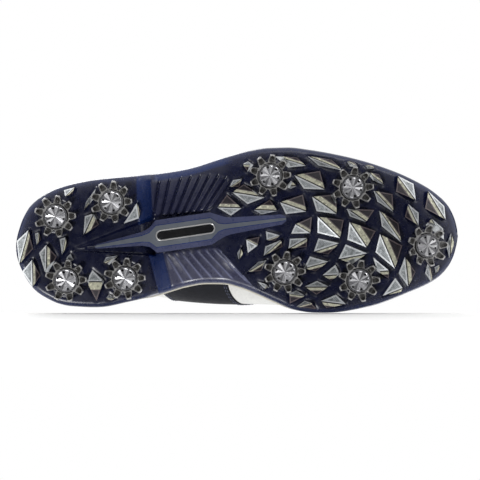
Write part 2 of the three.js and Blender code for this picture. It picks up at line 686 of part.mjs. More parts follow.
function eyeletHoles() {
  const up = new THREE.Vector3(0, 1, 0);
  const holes = [];
  for (const u of eyeletRows) {
    for (const side of [-1, 1]) {
      const geometry = new THREE.CylinderGeometry(eyeletRadius, eyeletRadius, 12, 6);
      geometry.applyQuaternion(new THREE.Quaternion().setFromUnitVectors(up, outwardAt(u, side)));
      const place = eyeletPlace(u, side);
      holes.push(solid(geometry.translate(place.x, place.y, place.z)));
    }
  }
  return joined(holes);
}

const leather = shell(0, leatherThickness).subtract(aboveTopline);
const holes = eyeletHoles();
const throat = ridgeStrip(88, 194, throatHalf);

function saddleBody(side) {
  return leather.intersect(between(saddleRearSeam, saddleFrontSeam)).intersect(sideHalf(side))
    .subtract(throat).subtract(holes);
}

function quarterBody(side) {
  return leather.intersect(between(backSeam, saddleRearSeam)).intersect(sideHalf(side));
}

const backstay = leather.intersect(between(behind, backSeam));
const vamp = leather.intersect(between(saddleFrontSeam, ahead));

const innerStart = 4.6; // what stands inside, over the board, starts this far above the sole's top
const innerFace = leatherThickness + fitGap; // depth where the parts behind the leather begin
const aboveBoard = soleLayer((u) => soleTop(u) + innerStart, () => 220);

function counterBody() {
  const region = sideBlock([[-20, 5], [86, 5], [78, 40], [40, 59], [-20, 60]]);
  return shell(innerFace, innerFace + counterThickness).intersect(region).intersect(aboveBoard);
}

function toePuffBody() {
  const region = sideBlock([[262, 5], [320, 5], [320, 220], [268, 220]]);
  return shell(innerFace, innerFace + puffThickness).intersect(region).intersect(aboveBoard);
}

function collarPadBody() {
  const lowered = topline.map(([u, z]) => [u, z - 1.2]).filter(([u]) => u < 90);
  const region = sideBlock([[-20, 63], [60, 63], [96, 72], [96, 97], ...lowered.reverse()]);
  return shell(innerFace, collarPadDepth).intersect(region);
}

function liningBody() {
  const collarZone = sideBlock([[-20, 62.3], [60, 62.3], [97, 71], [97, 220], [-20, 220]]);
  const facings = ridgeStrip(86, 197, (u) => throatHalf(u) + 15);
  return shell(liningDepth, liningDepth + liningThickness, coarseStations)
    .subtract(collarZone).subtract(facings).subtract(aboveTopline).intersect(aboveBoard);
}

function tongueBody() {
  const region = sideBlock([
    [192, 50], [192, 90], [150, 110], [112, 140], [94, 112], [112, 98], [140, 80], [165, 66],
  ]);
  const width = ridgeStrip(80, 196, (u) => (u < 120 ? 24 : 21));
  return shell(tongueDepth, tongueDepth + tongueThickness).intersect(region).intersect(width);
}

function innerLayer(depth, fromAbove, toAbove) {
  return planPrism(lastBase(depth), 0, 80)
    .intersect(soleLayer((u) => soleTop(u) + fromAbove, (u) => soleTop(u) + toAbove));
}

function weltBody() {
  const layer = soleLayer((u) => soleTop(u) + fitGap, (u) => soleTop(u) + fitGap + weltThickness);
  const archCut = sheetPrism([[94, -20], [171, -20], [171, -70], [94, -70]], 0, aboveSole);
  return planPrism(inset(soleOutline, weltInset), belowSole, aboveSole).intersect(layer)
    .subtract(lastBody(-fitGap, true)).subtract(archCut);
}

// ---------------------------------------------------------------- lace

const laceRadius = 1;
const laceAbove = 2.3; // height of the lace's middle above the facing where it comes out
const laceBelow = 4;

// The lace runs out of one eyelet, straight across the tongue, in at the other and on to the next row
// inside, up to the last row. Both ends are tucked in under the facings.
function lacePath() {
  const points = [];
  const lift = (u, side, height) => eyeletPlace(u, side).addScaledVector(outwardAt(u, side), height);
  [...eyeletRows].reverse().forEach((u, row) => {
    const from = row % 2 === 0 ? 1 : -1;
    const ridge = inSpace(u, last.ridge(u), faceHeight(u, last.ridge(u) + 0.01) + laceAbove);
    points.push(lift(u, from, -laceBelow), lift(u, from, laceAbove));
    points.push(ridge);
    points.push(lift(u, -from, laceAbove), lift(u, -from, -laceBelow));
  });
  return new THREE.CatmullRomCurve3(points, false, 'catmullrom', 0.25);
}

function laceGeometry() {
  const ring = [];
  for (let i = 0; i < 8; i += 1) {
    const turn = (i / 8) * 2 * Math.PI;
    ring.push(new THREE.Vector2(laceRadius * Math.cos(turn), laceRadius * Math.sin(turn)));
  }
  return new THREE.ExtrudeGeometry(new THREE.Shape(ring), {
    steps: 48, extrudePath: lacePath(), bevelEnabled: false,
  });
}

// ---------------------------------------------------------------- cleats

const legCount = 9;
const legTipRadius = 14.2;
const hubRadius = 10.2;
const hubBottom = -2.4;
const stemRadius = 4.2;
const stemTop = 5.8;

// A cleat is made with its seat at height 0 and its tips at -cleatHeight.
function cleatBody() {
  const profile = [
    [0, stemTop], [stemRadius, stemTop], [stemRadius, -fitGap],
    [hubRadius, -fitGap], [hubRadius, hubBottom], [0, hubBottom],
  ].map(([r, z]) => new THREE.Vector2(r, z));
  const hub = solid(new THREE.LatheGeometry(profile.reverse(), legCount).rotateX(Math.PI / 2));
  const upward = new THREE.Vector3(0, 0, 1);
  const legs = [];
  for (let i = 0; i < legCount; i += 1) {
    const turn = (i / legCount) * 2 * Math.PI;
    const point = (r, across, z) => new THREE.Vector3(r, across, z).applyAxisAngle(upward, turn);
    legs.push(convex([
      point(9, -2, -0.8), point(9, 2, -0.8), point(9, -2, -1.6), point(9, 2, -1.6),
      point(legTipRadius, -1, -cleatHeight), point(legTipRadius, 1, -cleatHeight),
      point(12.4, -1, -cleatHeight), point(12.4, 1, -cleatHeight),
    ]));
  }
  return hub.add(joined(legs));
}

function receptacleBody() {
  const profile = [
    [0, receptacleDepth], [receptacleRadius, receptacleDepth], [receptacleRadius, fitGap],
    [receptacleBoreRadius, fitGap], [receptacleBoreRadius, receptacleBoreDepth], [0, receptacleBoreDepth],
  ].map(([r, z]) => new THREE.Vector2(r, z));
  return solid(new THREE.LatheGeometry(profile.reverse(), 12).rotateX(Math.PI / 2));
}

function cleatDisc() {
  const thickness = 1.2;
  const geometry = new THREE.CylinderGeometry(7.9, 6.9, thickness, 16);
  return solid(geometry.rotateX(Math.PI / 2).translate(0, 0, hubBottom - fitGap - thickness / 2));
}

// ---------------------------------------------------------------- materials and assembly

function material(color, roughness, metalness = 0) {
  return new THREE.MeshStandardMaterial({ color, roughness, metalness });
}

const colours = {
  navy: () => material('#141a3c', 0.35),
  silverRubber: () => material('#96999c', 0.5, 0.3),
  cleatGrey: () => material('#5a5a58', 0.3),
  chrome: () => material('#c8c8ca', 0.25, 0.9),
  black: () => material('#0c0c0e', 0.3),
  cream: () => material('#e6e2d4', 0.6),
  foam: () => material('#d8d8d4', 0.9),
  board: () => material('#b49a74', 0.9),
  steel: () => material('#8c8f92', 0.35, 1),
  whiteLeather: () => material('#e9e9e6', 0.45),
  navyLeather: () => material('#14161f', 0.4),
  lining: () => material('#9aa0a8', 0.95),
  fibre: () => material('#c9b694', 0.85),
  lace: () => material('#f0f0ee', 0.85),
};

const shoe = new THREE.Group();
shoe.name = 'golf_shoe';

function addPart(name, geometry, colour, parent = shoe) {
  const mesh = new THREE.Mesh(geometry, colour());
  mesh.name = name;
  parent.add(mesh);
  return mesh;
}

function addSolid(name, body, colour, parent = shoe) {
  return addPart(name, geometryOf(body), colour, parent);
}

const badgePocket = stadium(40.6, 8.1, -5, bridgeFaceHeight + 1.9);
const bezel = stadium(40, 7.5, bridgeFaceHeight - 0.7, bridgeFaceHeight + 1.6)
  .subtract(stadium(38, 5.5, -5, 20));

addSolid('outsole', outsoleBody(), colours.navy);
addSolid('forefoot_lug_plate', lugPlate(forefootPlateSheet, forefootLugs), colours.silverRubber);
addSolid('heel_lug_plate', lugPlate(heelPlateSheet, heelLugs), colours.silverRubber);
addSolid('shank_bridge', bridgeBody().subtract(badgePocket), colours.silverRubber);
addSolid('badge_bezel', bezel, colours.chrome);
addSolid('badge_plate', stadium(37.4, 4.9, bridgeFaceHeight + 0.1, bridgeFaceHeight + 1.6), colours.black);
addSolid('midsole', midsoleBody(), colours.cream);
addSolid('shank_plate', shankPlateBody(), colours.steel);
addSolid('welt', weltBody(), colours.cream);
addSolid('insole_board', innerLayer(boardEdgeDepth, fitGap, fitGap + boardThickness), colours.board);
addSolid(
  'sockliner', innerLayer(socklinerEdgeDepth, innerStart, innerStart + socklinerThickness), colours.foam,
);
addSolid('heel_counter', counterBody(), colours.fibre);
addSolid('toe_puff', toePuffBody(), colours.fibre);
addSolid('lining', liningBody(), colours.lining);
addSolid('collar_padding', collarPadBody(), colours.lining);
addSolid('backstay', backstay, colours.whiteLeather);
addSolid('outer_quarter', quarterBody(1), colours.whiteLeather);
addSolid('inner_quarter', quarterBody(-1), colours.whiteLeather);
addSolid('outer_saddle', saddleBody(1), colours.navyLeather);
addSolid('inner_saddle', saddleBody(-1), colours.navyLeather);
addSolid('vamp', vamp, colours.whiteLeather);
addSolid('tongue', tongueBody(), colours.whiteLeather);
addPart('lace', laceGeometry(), colours.lace);

const cleatSolid = cleatBody();
const receptacleSolid = receptacleBody();
const discSolid = cleatDisc();

for (const [name, u, v] of cleatStations) {
  const station = new THREE.Group();
  station.applyMatrix4(stationMatrix(u, v));
  shoe.add(station);
  addSolid(`${name}_receptacle`, receptacleSolid, colours.cleatGrey, station);
  addSolid(`${name}_cleat`, cleatSolid, colours.cleatGrey, station);
  addSolid(`${name}_cleat_disc`, discSolid, colours.chrome, station);
}

export default shoe;
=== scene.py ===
"""A golf shoe seen from below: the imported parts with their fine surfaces, materials, light and camera."""

import math

import bmesh
import bpy
import numpy as np
from mathutils import Matrix, Vector
from mathutils.kdtree import KDTree


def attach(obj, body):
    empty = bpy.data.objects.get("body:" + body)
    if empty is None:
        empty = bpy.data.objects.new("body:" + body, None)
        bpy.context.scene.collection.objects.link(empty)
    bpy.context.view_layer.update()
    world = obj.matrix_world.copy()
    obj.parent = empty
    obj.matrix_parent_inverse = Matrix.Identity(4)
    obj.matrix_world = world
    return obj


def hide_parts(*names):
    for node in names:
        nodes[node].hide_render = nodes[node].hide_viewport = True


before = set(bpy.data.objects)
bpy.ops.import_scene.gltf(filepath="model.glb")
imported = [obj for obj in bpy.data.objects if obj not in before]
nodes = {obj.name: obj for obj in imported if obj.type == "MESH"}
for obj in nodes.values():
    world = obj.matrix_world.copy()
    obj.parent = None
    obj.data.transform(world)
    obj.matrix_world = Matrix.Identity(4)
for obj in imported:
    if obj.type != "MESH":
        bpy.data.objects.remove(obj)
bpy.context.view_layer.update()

MM = 0.001
SHEET_U, SHEET_V = 154.3, 2.3  # the sole sheet's place under the frame's origin, as in part.mjs
LUG_HEIGHT = 4.0
CLEAT_HEIGHT = 6.0
OUTSOLE_THICKNESS = 4.5
FIT_GAP = 0.3

CLEAT_STATIONS = {
    "heel_outer_rear": (34.5, 18.6),
    "heel_inner_rear": (39.6, -24),
    "heel_outer_front": (72, 26.5),
    "heel_inner_front": (78.5, -24.5),
    "ball_outer_rear": (177.7, 39.2),
    "ball_inner_rear": (184.5, -25),
    "ball_outer_front": (232, 28.8),
    "ball_inner_front": (233.4, -33),
    "toe": (279.5, -11.8),
}


# ------------------------------------------------------------ sheet places, heights and curves


def at(u, v, z):
    """A place on the sole sheet, in millimetres, as a point of the frame, in metres."""
    return Vector(((u - SHEET_U) * MM, (SHEET_V - v) * MM, z * MM))


def smoothstep(low, high, value):
    t = np.clip((np.asarray(value, float) - low) / (high - low), 0, 1)
    return t * t * (3 - 2 * t)


ARCH_RISE = 8.0
TOE_SPRING = 9.0
SPRING_START, SPRING_END = 235.0, 302.0


def tread_height(u):
    """Height of the outsole's flat face above the ground: raised at the arch, curved up at the toe."""
    arch = ARCH_RISE * smoothstep(90, 103, u) * (1 - smoothstep(112, 150, u))
    spring = np.maximum(0, np.asarray(u, float) - SPRING_START) / (SPRING_END - SPRING_START)
    return CLEAT_HEIGHT + arch + TOE_SPRING * spring**2


def curve_through(points):
    """A smooth curve through the points that never overshoots them (monotone cubic)."""
    xs, ys = np.array(points, float).T
    steps = np.diff(ys) / np.diff(xs)
    slopes = np.empty_like(ys)
    slopes[0], slopes[-1] = steps[0], steps[-1]
    before, after = steps[:-1], steps[1:]
    total = np.where(before + after == 0, 1, before + after)
    slopes[1:-1] = np.where(before * after > 0, 2 * before * after / total, 0)

    def value(x):
        x = np.clip(x, xs[0], xs[-1])
        i = np.clip(np.searchsorted(xs, x, side="right") - 1, 0, len(xs) - 2)
        width = xs[i + 1] - xs[i]
        t = (x - xs[i]) / width
        rise = 3 * t**2 - 2 * t**3
        leave = (t - 2 * t**2 + t**3) * width * slopes[i]
        arrive = (t**3 - t**2) * width * slopes[i + 1]
        return ys[i] + (ys[i + 1] - ys[i]) * rise + leave + arrive

    return value


sole_top = curve_through([[0, 26.5], [60, 26], [110, 23.5], [160, 19.5], [215, 17.5], [250, 18.4], [302, 27]])

OUTLINE_OUTER = [
    [6.9, -2], [7.2, 3], [9.6, 12], [12.8, 19.6], [18, 27], [26, 33], [36.9, 37.8], [48, 40.4], [62, 42.3],
    [92, 43.8], [120.9, 46.6], [149.2, 53.3], [165, 56.8], [177.2, 58], [190, 57.8], [205, 55.5],
    [232.5, 48.9], [260, 39], [281, 28], [289.5, 21.6], [295.4, 15.5], [299.4, 7.8], [301.4, 0], [301.8, -5],
]
OUTLINE_INNER = [
    [6.9, -4], [7.6, -8.5], [10, -16], [14, -24], [19, -30.5], [26, -35.5], [34, -39.5], [42.6, -41.5],
    [61.2, -42.9], [80, -40.2], [98, -36.8], [106, -34.8], [118, -31.8], [131, -30.1], [143, -30.6],
    [155, -34], [165, -38.4], [176, -44], [190.9, -50.8], [203, -53], [215, -53.5], [240, -50.6],
    [265.6, -42.9], [284.5, -35.2], [293.5, -27.6], [298, -20.6], [300.6, -13], [301.8, -8],
]
outline_outer = curve_through(OUTLINE_OUTER)
outline_inner = curve_through(OUTLINE_INNER)


# ------------------------------------------------------------ camera, lights and floor

CAMERA_DISTANCE = 1.1
SOLE_FIELD = 0.318  # width that the camera sees at the sole
SHOE_TURN = math.radians(2.6)
SIDE_MARGIN = 0.0004  # gap between the shoe and the floor it lies on sideways
SIDE_LOW, SIDE_HIGH = -0.5, 0.012  # heights that the side floor spans
FLOOR_REACH = 1.2
PICTURE_RIGHT = Vector((math.cos(SHOE_TURN), math.sin(SHOE_TURN), 0))
PICTURE_UP = Vector((math.sin(SHOE_TURN), -math.cos(SHOE_TURN), 0))
AIM = at(155.9, -2.4, 4)


def make_camera():
    data = bpy.data.cameras.new("camera")
    data.sensor_width = 36
    data.lens = 36 * CAMERA_DISTANCE / SOLE_FIELD
    camera = bpy.data.objects.new("camera", data)
    bpy.context.scene.collection.objects.link(camera)
    turn = Matrix((PICTURE_RIGHT, PICTURE_UP, PICTURE_RIGHT.cross(PICTURE_UP))).transposed()
    camera.matrix_world = Matrix.Translation(AIM + Vector((0, 0, -CAMERA_DISTANCE))) @ turn.to_4x4()
    bpy.context.scene.camera = camera


def make_light(name, place, aim, size, power, colour=(1, 1, 1)):
    data = bpy.data.lights.new(name, "AREA")
    data.shape, data.size, data.energy, data.color = "DISK", size, power, colour
    light = bpy.data.objects.new(name, data)
    light.location = place
    light.rotation_euler = (Vector(aim) - Vector(place)).to_track_quat("-Z", "Y").to_euler()
    bpy.context.scene.collection.objects.link(light)


def make_world():
    world = bpy.data.worlds.new("studio")
    world.use_nodes = True
    world.node_tree.nodes["Background"].inputs["Color"].default_value = (1, 1, 1, 1)
    world.node_tree.nodes["Background"].inputs["Strength"].default_value = 1.0
    bpy.context.scene.world = world


def make_floor(name, corners):
    """A pale stage floor that shows on its front only, so that the shoe is seen through its back."""
    mesh = bpy.data.meshes.new(name)
    mesh.from_pydata(corners, [], [range(4)])
    floor = bpy.data.objects.new(name, mesh)
    bpy.context.scene.collection.objects.link(floor)
    material = bpy.data.materials.new(name)
    material.use_nodes = True
    tree = material.node_tree
    pale = tree.nodes["Principled BSDF"]
    pale.inputs["Base Color"].default_value = (0.93, 0.93, 0.93, 1)
    pale.inputs["Roughness"].default_value = 0.9
    clear = tree.nodes.new("ShaderNodeBsdfTransparent")
    side = tree.nodes.new("ShaderNodeNewGeometry")
    mix = tree.nodes.new("ShaderNodeMixShader")
    tree.links.new(side.outputs["Backfacing"], mix.inputs["Fac"])
    tree.links.new(pale.outputs["BSDF"], mix.inputs[1])
    tree.links.new(clear.outputs["BSDF"], mix.inputs[2])
    tree.links.new(mix.outputs["Shader"], tree.nodes["Material Output"].inputs["Surface"])
    mesh.materials.append(material)
    floor.visible_shadow = False


make_camera()
make_world()
bpy.context.scene.view_settings.view_transform = "Standard"
make_light("key", (-0.45, 0.55, -0.9), (0, 0, 0), 0.3, 7)
make_light("fill", (0.4, -0.7, -0.9), (0, 0, 0), 0.5, 4)
make_light("top", (-0.3, -0.6, 0.9), (0, 0, 0.05), 0.6, 3.5)
make_light("back", (0.5, 0.7, 0.7), (0, 0, 0.05), 0.6, 2.5)
ground = [(-1, -1), (1, -1), (1, 1), (-1, 1)]
make_floor("ground_floor", [(x * FLOOR_REACH, y * FLOOR_REACH, 0) for x, y in ground])
lowest = min((at(u, v, 0) - AIM).dot(PICTURE_UP) for u, v in OUTLINE_INNER) - SIDE_MARGIN
near, far = (AIM + PICTURE_UP * lowest + PICTURE_RIGHT * reach for reach in (-FLOOR_REACH, FLOOR_REACH))
side_corners = [(near, SIDE_LOW), (far, SIDE_LOW), (far, SIDE_HIGH), (near, SIDE_HIGH)]
make_floor("side_floor", [(end.x, end.y, z) for end, z in side_corners])


# ------------------------------------------------------------ materials


class Paint:
    """One procedural material around a Principled shader. Sizes are in millimetres."""

    def __init__(self, name, **constants):
        self.material = bpy.data.materials.new(name)
        self.material.use_nodes = True
        self.tree = self.material.node_tree
        self.shader = self.tree.nodes["Principled BSDF"]
        for words, value in constants.items():
            self.shader.inputs[words.replace("_", " ")].default_value = value
        self.height = None

    def add(self, kind, inputs=(), **settings):
        node = self.tree.nodes.new(kind)
        for setting, value in settings.items():
            setattr(node, setting, value)
        for socket, value in dict(inputs).items():
            if isinstance(value, bpy.types.NodeSocket):
                self.tree.links.new(value, node.inputs[socket])
            else:
                node.inputs[socket].default_value = value
        return node

    def place(self, stretch=(1, 1, 1), turn=(0, 0, 0)):
        coordinates = self.add("ShaderNodeTexCoord").outputs["Object"]
        scale = [s / MM for s in stretch]
        inputs = {"Vector": coordinates, "Scale": scale, "Rotation": turn}
        return self.add("ShaderNodeMapping", inputs).outputs["Vector"]

    def noise(self, size, detail=3.0, stretch=(1, 1, 1)):
        inputs = {"Vector": self.place(stretch), "Scale": 1 / size, "Detail": detail}
        return self.add("ShaderNodeTexNoise", inputs).outputs["Fac"]

    def cells(self, size, feature="F1"):
        inputs = {"Vector": self.place(), "Scale": 1 / size}
        return self.add("ShaderNodeTexVoronoi", inputs, feature=feature).outputs["Distance"]

    def waves(self, pitch, direction, turn=(0, 0, 0)):
        inputs = {"Vector": self.place(turn=turn), "Scale": 0.314 / pitch, "Distortion": 0.4}
        return self.add("ShaderNodeTexWave", inputs, bands_direction=direction).outputs["Fac"]

    def weave(self, pitch):
        first = self.waves(pitch, "X", (0.3, 0, 0.8))
        second = self.waves(pitch, "Z", (0.2, 0.3, 0.8))
        return self.maths("MAXIMUM", first, second)

    def tone(self, name="tone"):
        return self.add("ShaderNodeAttribute", attribute_name=name).outputs["Fac"]

    def edges(self, low=0.5, high=0.56):
        pointed = self.add("ShaderNodeNewGeometry").outputs["Pointiness"]
        return self.spread(pointed, low, high, 0, 1)

    def maths(self, operation, first, second):
        return self.add("ShaderNodeMath", {0: first, 1: second}, operation=operation).outputs[0]

    def spread(self, value, from_low, from_high, to_low, to_high):
        inputs = {0: value, 1: from_low, 2: from_high, 3: to_low, 4: to_high}
        return self.add("ShaderNodeMapRange", inputs).outputs[0]

    def mix(self, factor, first, second):
        inputs = {"Factor": factor, 6: first, 7: second}
        return self.add("ShaderNodeMix", inputs, data_type="RGBA").outputs[2]

    def colour(self, factor, first, second):
        self.paint(self.mix(factor, rgb(first), rgb(second)))

    def wear(self, factor, colour):
        """Another colour over what there is, where the factor says: own colour, or painted highlight and
        shade.
        """
        under = self.shader.inputs["Base Color"].links[0].from_socket
        self.paint(self.mix(factor, under, rgb(colour)))

    def paint(self, socket):
        self.tree.links.new(socket, self.shader.inputs["Base Color"])

    def rough(self, factor, low, high):
        gloss = self.spread(factor, 0.25, 0.75, low, high)
        self.tree.links.new(gloss, self.shader.inputs["Roughness"])

    def bump(self, height, depth, strength=0.6):
        inputs = {"Height": height, "Distance": depth * MM, "Strength": strength}
        if self.height:
            inputs["Normal"] = self.height
        self.height = self.add("ShaderNodeBump", inputs).outputs["Normal"]
        self.tree.links.new(self.height, self.shader.inputs["Normal"])


def rgb(values):
    """A colour given as sRGB from 0 to 255, as linear red, green, blue and alpha."""
    shares = [v / 255 for v in values]
    return [s / 12.92 if s <= 0.04045 else ((s + 0.055) / 1.055) ** 2.4 for s in shares] + [1]


def moulded(name, dark, light, low, high, grain=0.5, depth=0.05, **constants):
    """Moulded plastic or rubber: soft clouds of colour, a fine skin and slightly uneven gloss."""
    paint = Paint(name, **constants)
    paint.colour(paint.noise(14), dark, light)
    paint.rough(paint.noise(5), low, high)
    paint.bump(paint.noise(grain), depth)
    return paint


def make_navy():
    coat = {"Coat_Weight": 0.35, "Coat_Roughness": 0.15}
    paint = moulded("navy_tpu", (5, 8, 30), (13, 19, 52), 0.2, 0.38, 0.8, 0.06, **coat)
    # Slate on the arch ribs and steps. On the inner steps its share drops just past each step's edge: a
    # painted shadow of the step.
    paint.wear(paint.tone("slate"), (54, 55, 78))
    # Pale lines along the inner steps' ridges: painted highlight.
    paint.wear(paint.tone("crest_highlight"), (120, 124, 152))
    # Brighter blue: a painted highlight of light through the thin rounded rim and along the outer shank edge,
    # and a lighter band at the heel's breast.
    paint.wear(paint.tone(), (15, 38, 88))
    # Lighter blue on convex edges: painted highlight.
    paint.wear(paint.maths("MULTIPLY", paint.edges(0.55, 0.7), 0.25), (52, 74, 128))
    paint.bump(paint.noise(6), 0.25, 0.3)
    return paint.material


def make_textured(name, dark, light, pitch, **constants):
    """Rubber with a fine moulded diamond texture."""
    paint = moulded(name, dark, light, 0.35, 0.55, 0.4, 0.05, **constants)
    slanted = (0, 0, 0.7)
    diamonds = paint.maths("MULTIPLY", paint.waves(pitch, "X", slanted), paint.waves(pitch, "Y", slanted))
    paint.wear(paint.maths("MULTIPLY", diamonds, 0.6), [v * 1.25 for v in light])
    paint.wear(paint.spread(paint.noise(2.2, 4), 0.5, 0.64, 0, 0.55), [v * 0.6 for v in dark])
    paint.wear(paint.spread(paint.noise(1.7, 4), 0.56, 0.68, 0, 0.6), [min(255, v * 1.35) for v in light])
    paint.bump(diamonds, 0.12)
    return paint.material


def make_metal(name, dark, light, low, high, stretch=(1, 1, 1)):
    paint = Paint(name, Metallic=0.95, Coat_Weight=0.3)
    paint.colour(paint.noise(2.5, stretch=stretch), dark, light)
    paint.rough(paint.noise(0.5, stretch=stretch), low, high)
    paint.bump(paint.noise(0.35, stretch=stretch), 0.02)
    return paint


def make_disc_metal():
    paint = make_metal("disc_metal", (118, 118, 121), (166, 166, 169), 0.22, 0.38)
    # Tone: painted highlight on every other facet and on the side.
    paint.wear(paint.tone(), (222, 222, 224))
    # Near-black in the pits: painted shade.
    paint.wear(paint.tone("pit"), (16, 16, 20))
    return paint.material


def make_smoky():
    clear = {"Coat_Weight": 0.9, "IOR": 1.5, "Transmission_Weight": 0.35}
    paint = moulded("smoky_plastic", (30, 29, 29), (84, 82, 80), 0.06, 0.16, 1.2, 0.08, **clear)
    # Pale on convex edges, mostly the legs' outlines: painted highlight.
    paint.wear(paint.maths("MULTIPLY", paint.edges(0.5, 0.55), 0.9), (204, 203, 202))
    return paint.material


def make_leather(name, dark, light, low, high, grain=1.1, coat=0.15, **constants):
    """Smooth full-grain leather: pebbles with fine creases between, and pores."""
    paint = Paint(name, Coat_Weight=coat, Coat_Roughness=0.35, **constants)
    paint.colour(paint.noise(9), dark, light)
    pebbles = paint.cells(grain, "SMOOTH_F1")
    paint.wear(paint.maths("MULTIPLY", paint.spread(pebbles, 0.45, 0.9, 0, 1), 0.35), [v * 0.8 for v in dark])
    paint.wear(paint.maths("MULTIPLY", paint.edges(0.52, 0.6), 0.3), [min(255, v * 1.1 + 8) for v in light])
    paint.rough(paint.noise(3), low, high)
    paint.bump(paint.noise(7), 0.35, 0.25)
    paint.bump(paint.spread(pebbles, 0, 1, 1, 0), 0.16, 0.5)
    paint.bump(paint.noise(0.25), 0.04, 0.4)
    return paint.material


def make_fabric(name, dark, light, pitch, depth=0.2, sheen=0.4):
    paint = Paint(name, Sheen_Weight=sheen, Sheen_Roughness=0.5)
    threads = paint.weave(pitch)
    paint.colour(threads, dark, light)
    paint.wear(paint.maths("MULTIPLY", paint.noise(6), 0.25), [v * 0.85 for v in light])
    paint.rough(paint.noise(1.5), 0.75, 0.95)
    paint.bump(threads, depth, 0.7)
    paint.bump(paint.noise(0.2), 0.06, 0.5)
    return paint.material


def make_foam(name, dark, light, size=0.8):
    paint = Paint(name)
    paint.colour(paint.noise(8), dark, light)
    paint.rough(paint.noise(2), 0.6, 0.85)
    paint.bump(paint.cells(size), 0.12, 0.5)
    return paint.material


NAVY = make_navy()
PEARL = {"Metallic": 0.25, "Coat_Weight": 0.4}
# Lugs' light faces: silver, made brighter on their rims as a painted highlight.
SILVER_AND_HIGHLIGHT = moulded("silver_rubber_and_highlight", (196, 200, 203), (232, 234, 235), 0.2, 0.36, **PEARL).material
TEXTURED = make_textured("textured_silver", (112, 116, 119), (160, 164, 166), 0.9, Metallic=0.25)
CREAM = make_textured("cream_rubber", (150, 150, 132), (184, 182, 164), 0.7)
# Lugs' dark faces: near-black, mostly painted shade of faces turned from the light, partly a dark tint of
# their own.
DARK_AND_SHADE = make_textured("dark_rubber_and_shade", (24, 21, 28), (42, 36, 44), 1.1)
STRIPE = moulded("stripe_rubber", (84, 74, 78), (112, 102, 104), 0.3, 0.5).material
DISC = make_disc_metal()
SMOKY = make_smoky()
BLUE = moulded("bright_blue", (24, 44, 104), (36, 62, 128), 0.18, 0.32, 0.8, 0.05, Coat_Weight=0.5).material
CHROME = {"Metallic": 0.45, "Coat_Weight": 0.5}
BRIGHT = moulded("bright_trim", (196, 196, 194), (232, 232, 230), 0.14, 0.28, **CHROME).material
SATIN = {"Metallic": 0.35, "Coat_Weight": 0.4}
GREY = moulded("grey_plastic", (96, 102, 110), (128, 133, 140), 0.25, 0.4, **SATIN).material
BLACK = moulded("badge_black", (6, 6, 8), (16, 16, 18), 0.12, 0.25, 0.9, 0.04, Coat_Weight=0.7).material
EVA = make_foam("cream_midsole", (182, 178, 164), (204, 200, 187))
WELT = make_leather("welt", (176, 169, 150), (198, 192, 174), 0.4, 0.6, 0.8)
WHITE = make_leather("white_leather", (188, 188, 186), (208, 208, 205), 0.34, 0.5)
# Saddle leather: its own dark navy, made darker still as painted shade for where it shows under the arch.
NIGHT = make_leather("navy_leather", (5, 6, 12), (12, 14, 24), 0.42, 0.58, coat=0, Specular_IOR_Level=0.18)
THREAD = make_fabric("white_thread", (176, 176, 172), (214, 214, 210), 0.35, 0.08, 0.2)
DARK_THREAD = make_fabric("dark_thread", (28, 32, 48), (52, 58, 82), 0.35, 0.08, 0.2)
LACE = make_fabric("lace_cloth", (168, 168, 166), (214, 214, 212), 0.8, 0.25)
TEXTILE = make_fabric("lining_cloth", (88, 94, 104), (128, 134, 144), 0.9)
COLLAR = make_fabric("collar_cloth", (120, 124, 132), (170, 174, 180), 1.1)
FOOTBED = make_fabric("footbed_cloth", (52, 58, 82), (84, 92, 118), 1.2)
SLATE = moulded("slate_blue", (56, 60, 88), (82, 87, 120), 0.22, 0.36, 0.8, 0.06, Coat_Weight=0.4).material
STEEL = make_metal("steel", (120, 122, 126), (164, 166, 168), 0.25, 0.4, (0.2, 3, 1)).material
BOARD = make_foam("fibre_board", (150, 126, 94), (188, 164, 128), 0.6)
FIBRE = make_foam("stiffener", (176, 158, 126), (206, 190, 158), 0.7)

# ------------------------------------------------------------ mesh helpers


def make_object(name, points, faces, materials, indices=None, smooth=False, tones=()):
    """A mesh object from points in metres, faces turned outward, with float attributes named in tones."""
    mesh = bpy.data.meshes.new(name)
    mesh.from_pydata(np.asarray(points, float).tolist(), [], [[int(i) for i in face] for face in faces])
    for material in materials:
        mesh.materials.append(material)
    if indices is not None:
        mesh.polygons.foreach_set("material_index", np.asarray(indices, np.int32))
    mesh.polygons.foreach_set("use_smooth", [smooth] * len(faces))
    for attribute, values in dict(tones).items():
        layer = mesh.attributes.new(attribute, "FLOAT", "POINT")
        layer.data.foreach_set("value", np.asarray(values, np.float32))
    mesh.update()
    shape = bmesh.new()
    shape.from_mesh(mesh)
    bmesh.ops.recalc_face_normals(shape, faces=shape.faces)
    shape.to_mesh(mesh)
    shape.free()
    obj = bpy.data.objects.new(name, mesh)
    bpy.context.scene.collection.objects.link(obj)
    return obj


def settle(obj):
    """Makes the modifiers' result the object's own mesh."""
    bpy.context.view_layer.update()
    graph = bpy.context.evaluated_depsgraph_get()
    result = bpy.data.meshes.new_from_object(obj.evaluated_get(graph))
    obj.modifiers.clear()
    obj.data = result


def cut(obj, tool):
    """Takes the tool's shape out of the object."""
    modifier = obj.modifiers.new("cut", "BOOLEAN")
    modifier.operation, modifier.solver, modifier.object = "DIFFERENCE", "EXACT", tool
    settle(obj)
    bpy.data.objects.remove(tool)


def soften(obj, width, segments=2, angle=30):
    """Small round edges, width in millimetres."""
    modifier = obj.modifiers.new("soft_edges", "BEVEL")
    modifier.width, modifier.segments, modifier.limit_method = width * MM, segments, "ANGLE"
    modifier.angle_limit = math.radians(angle)
    modifier.use_clamp_overlap = True


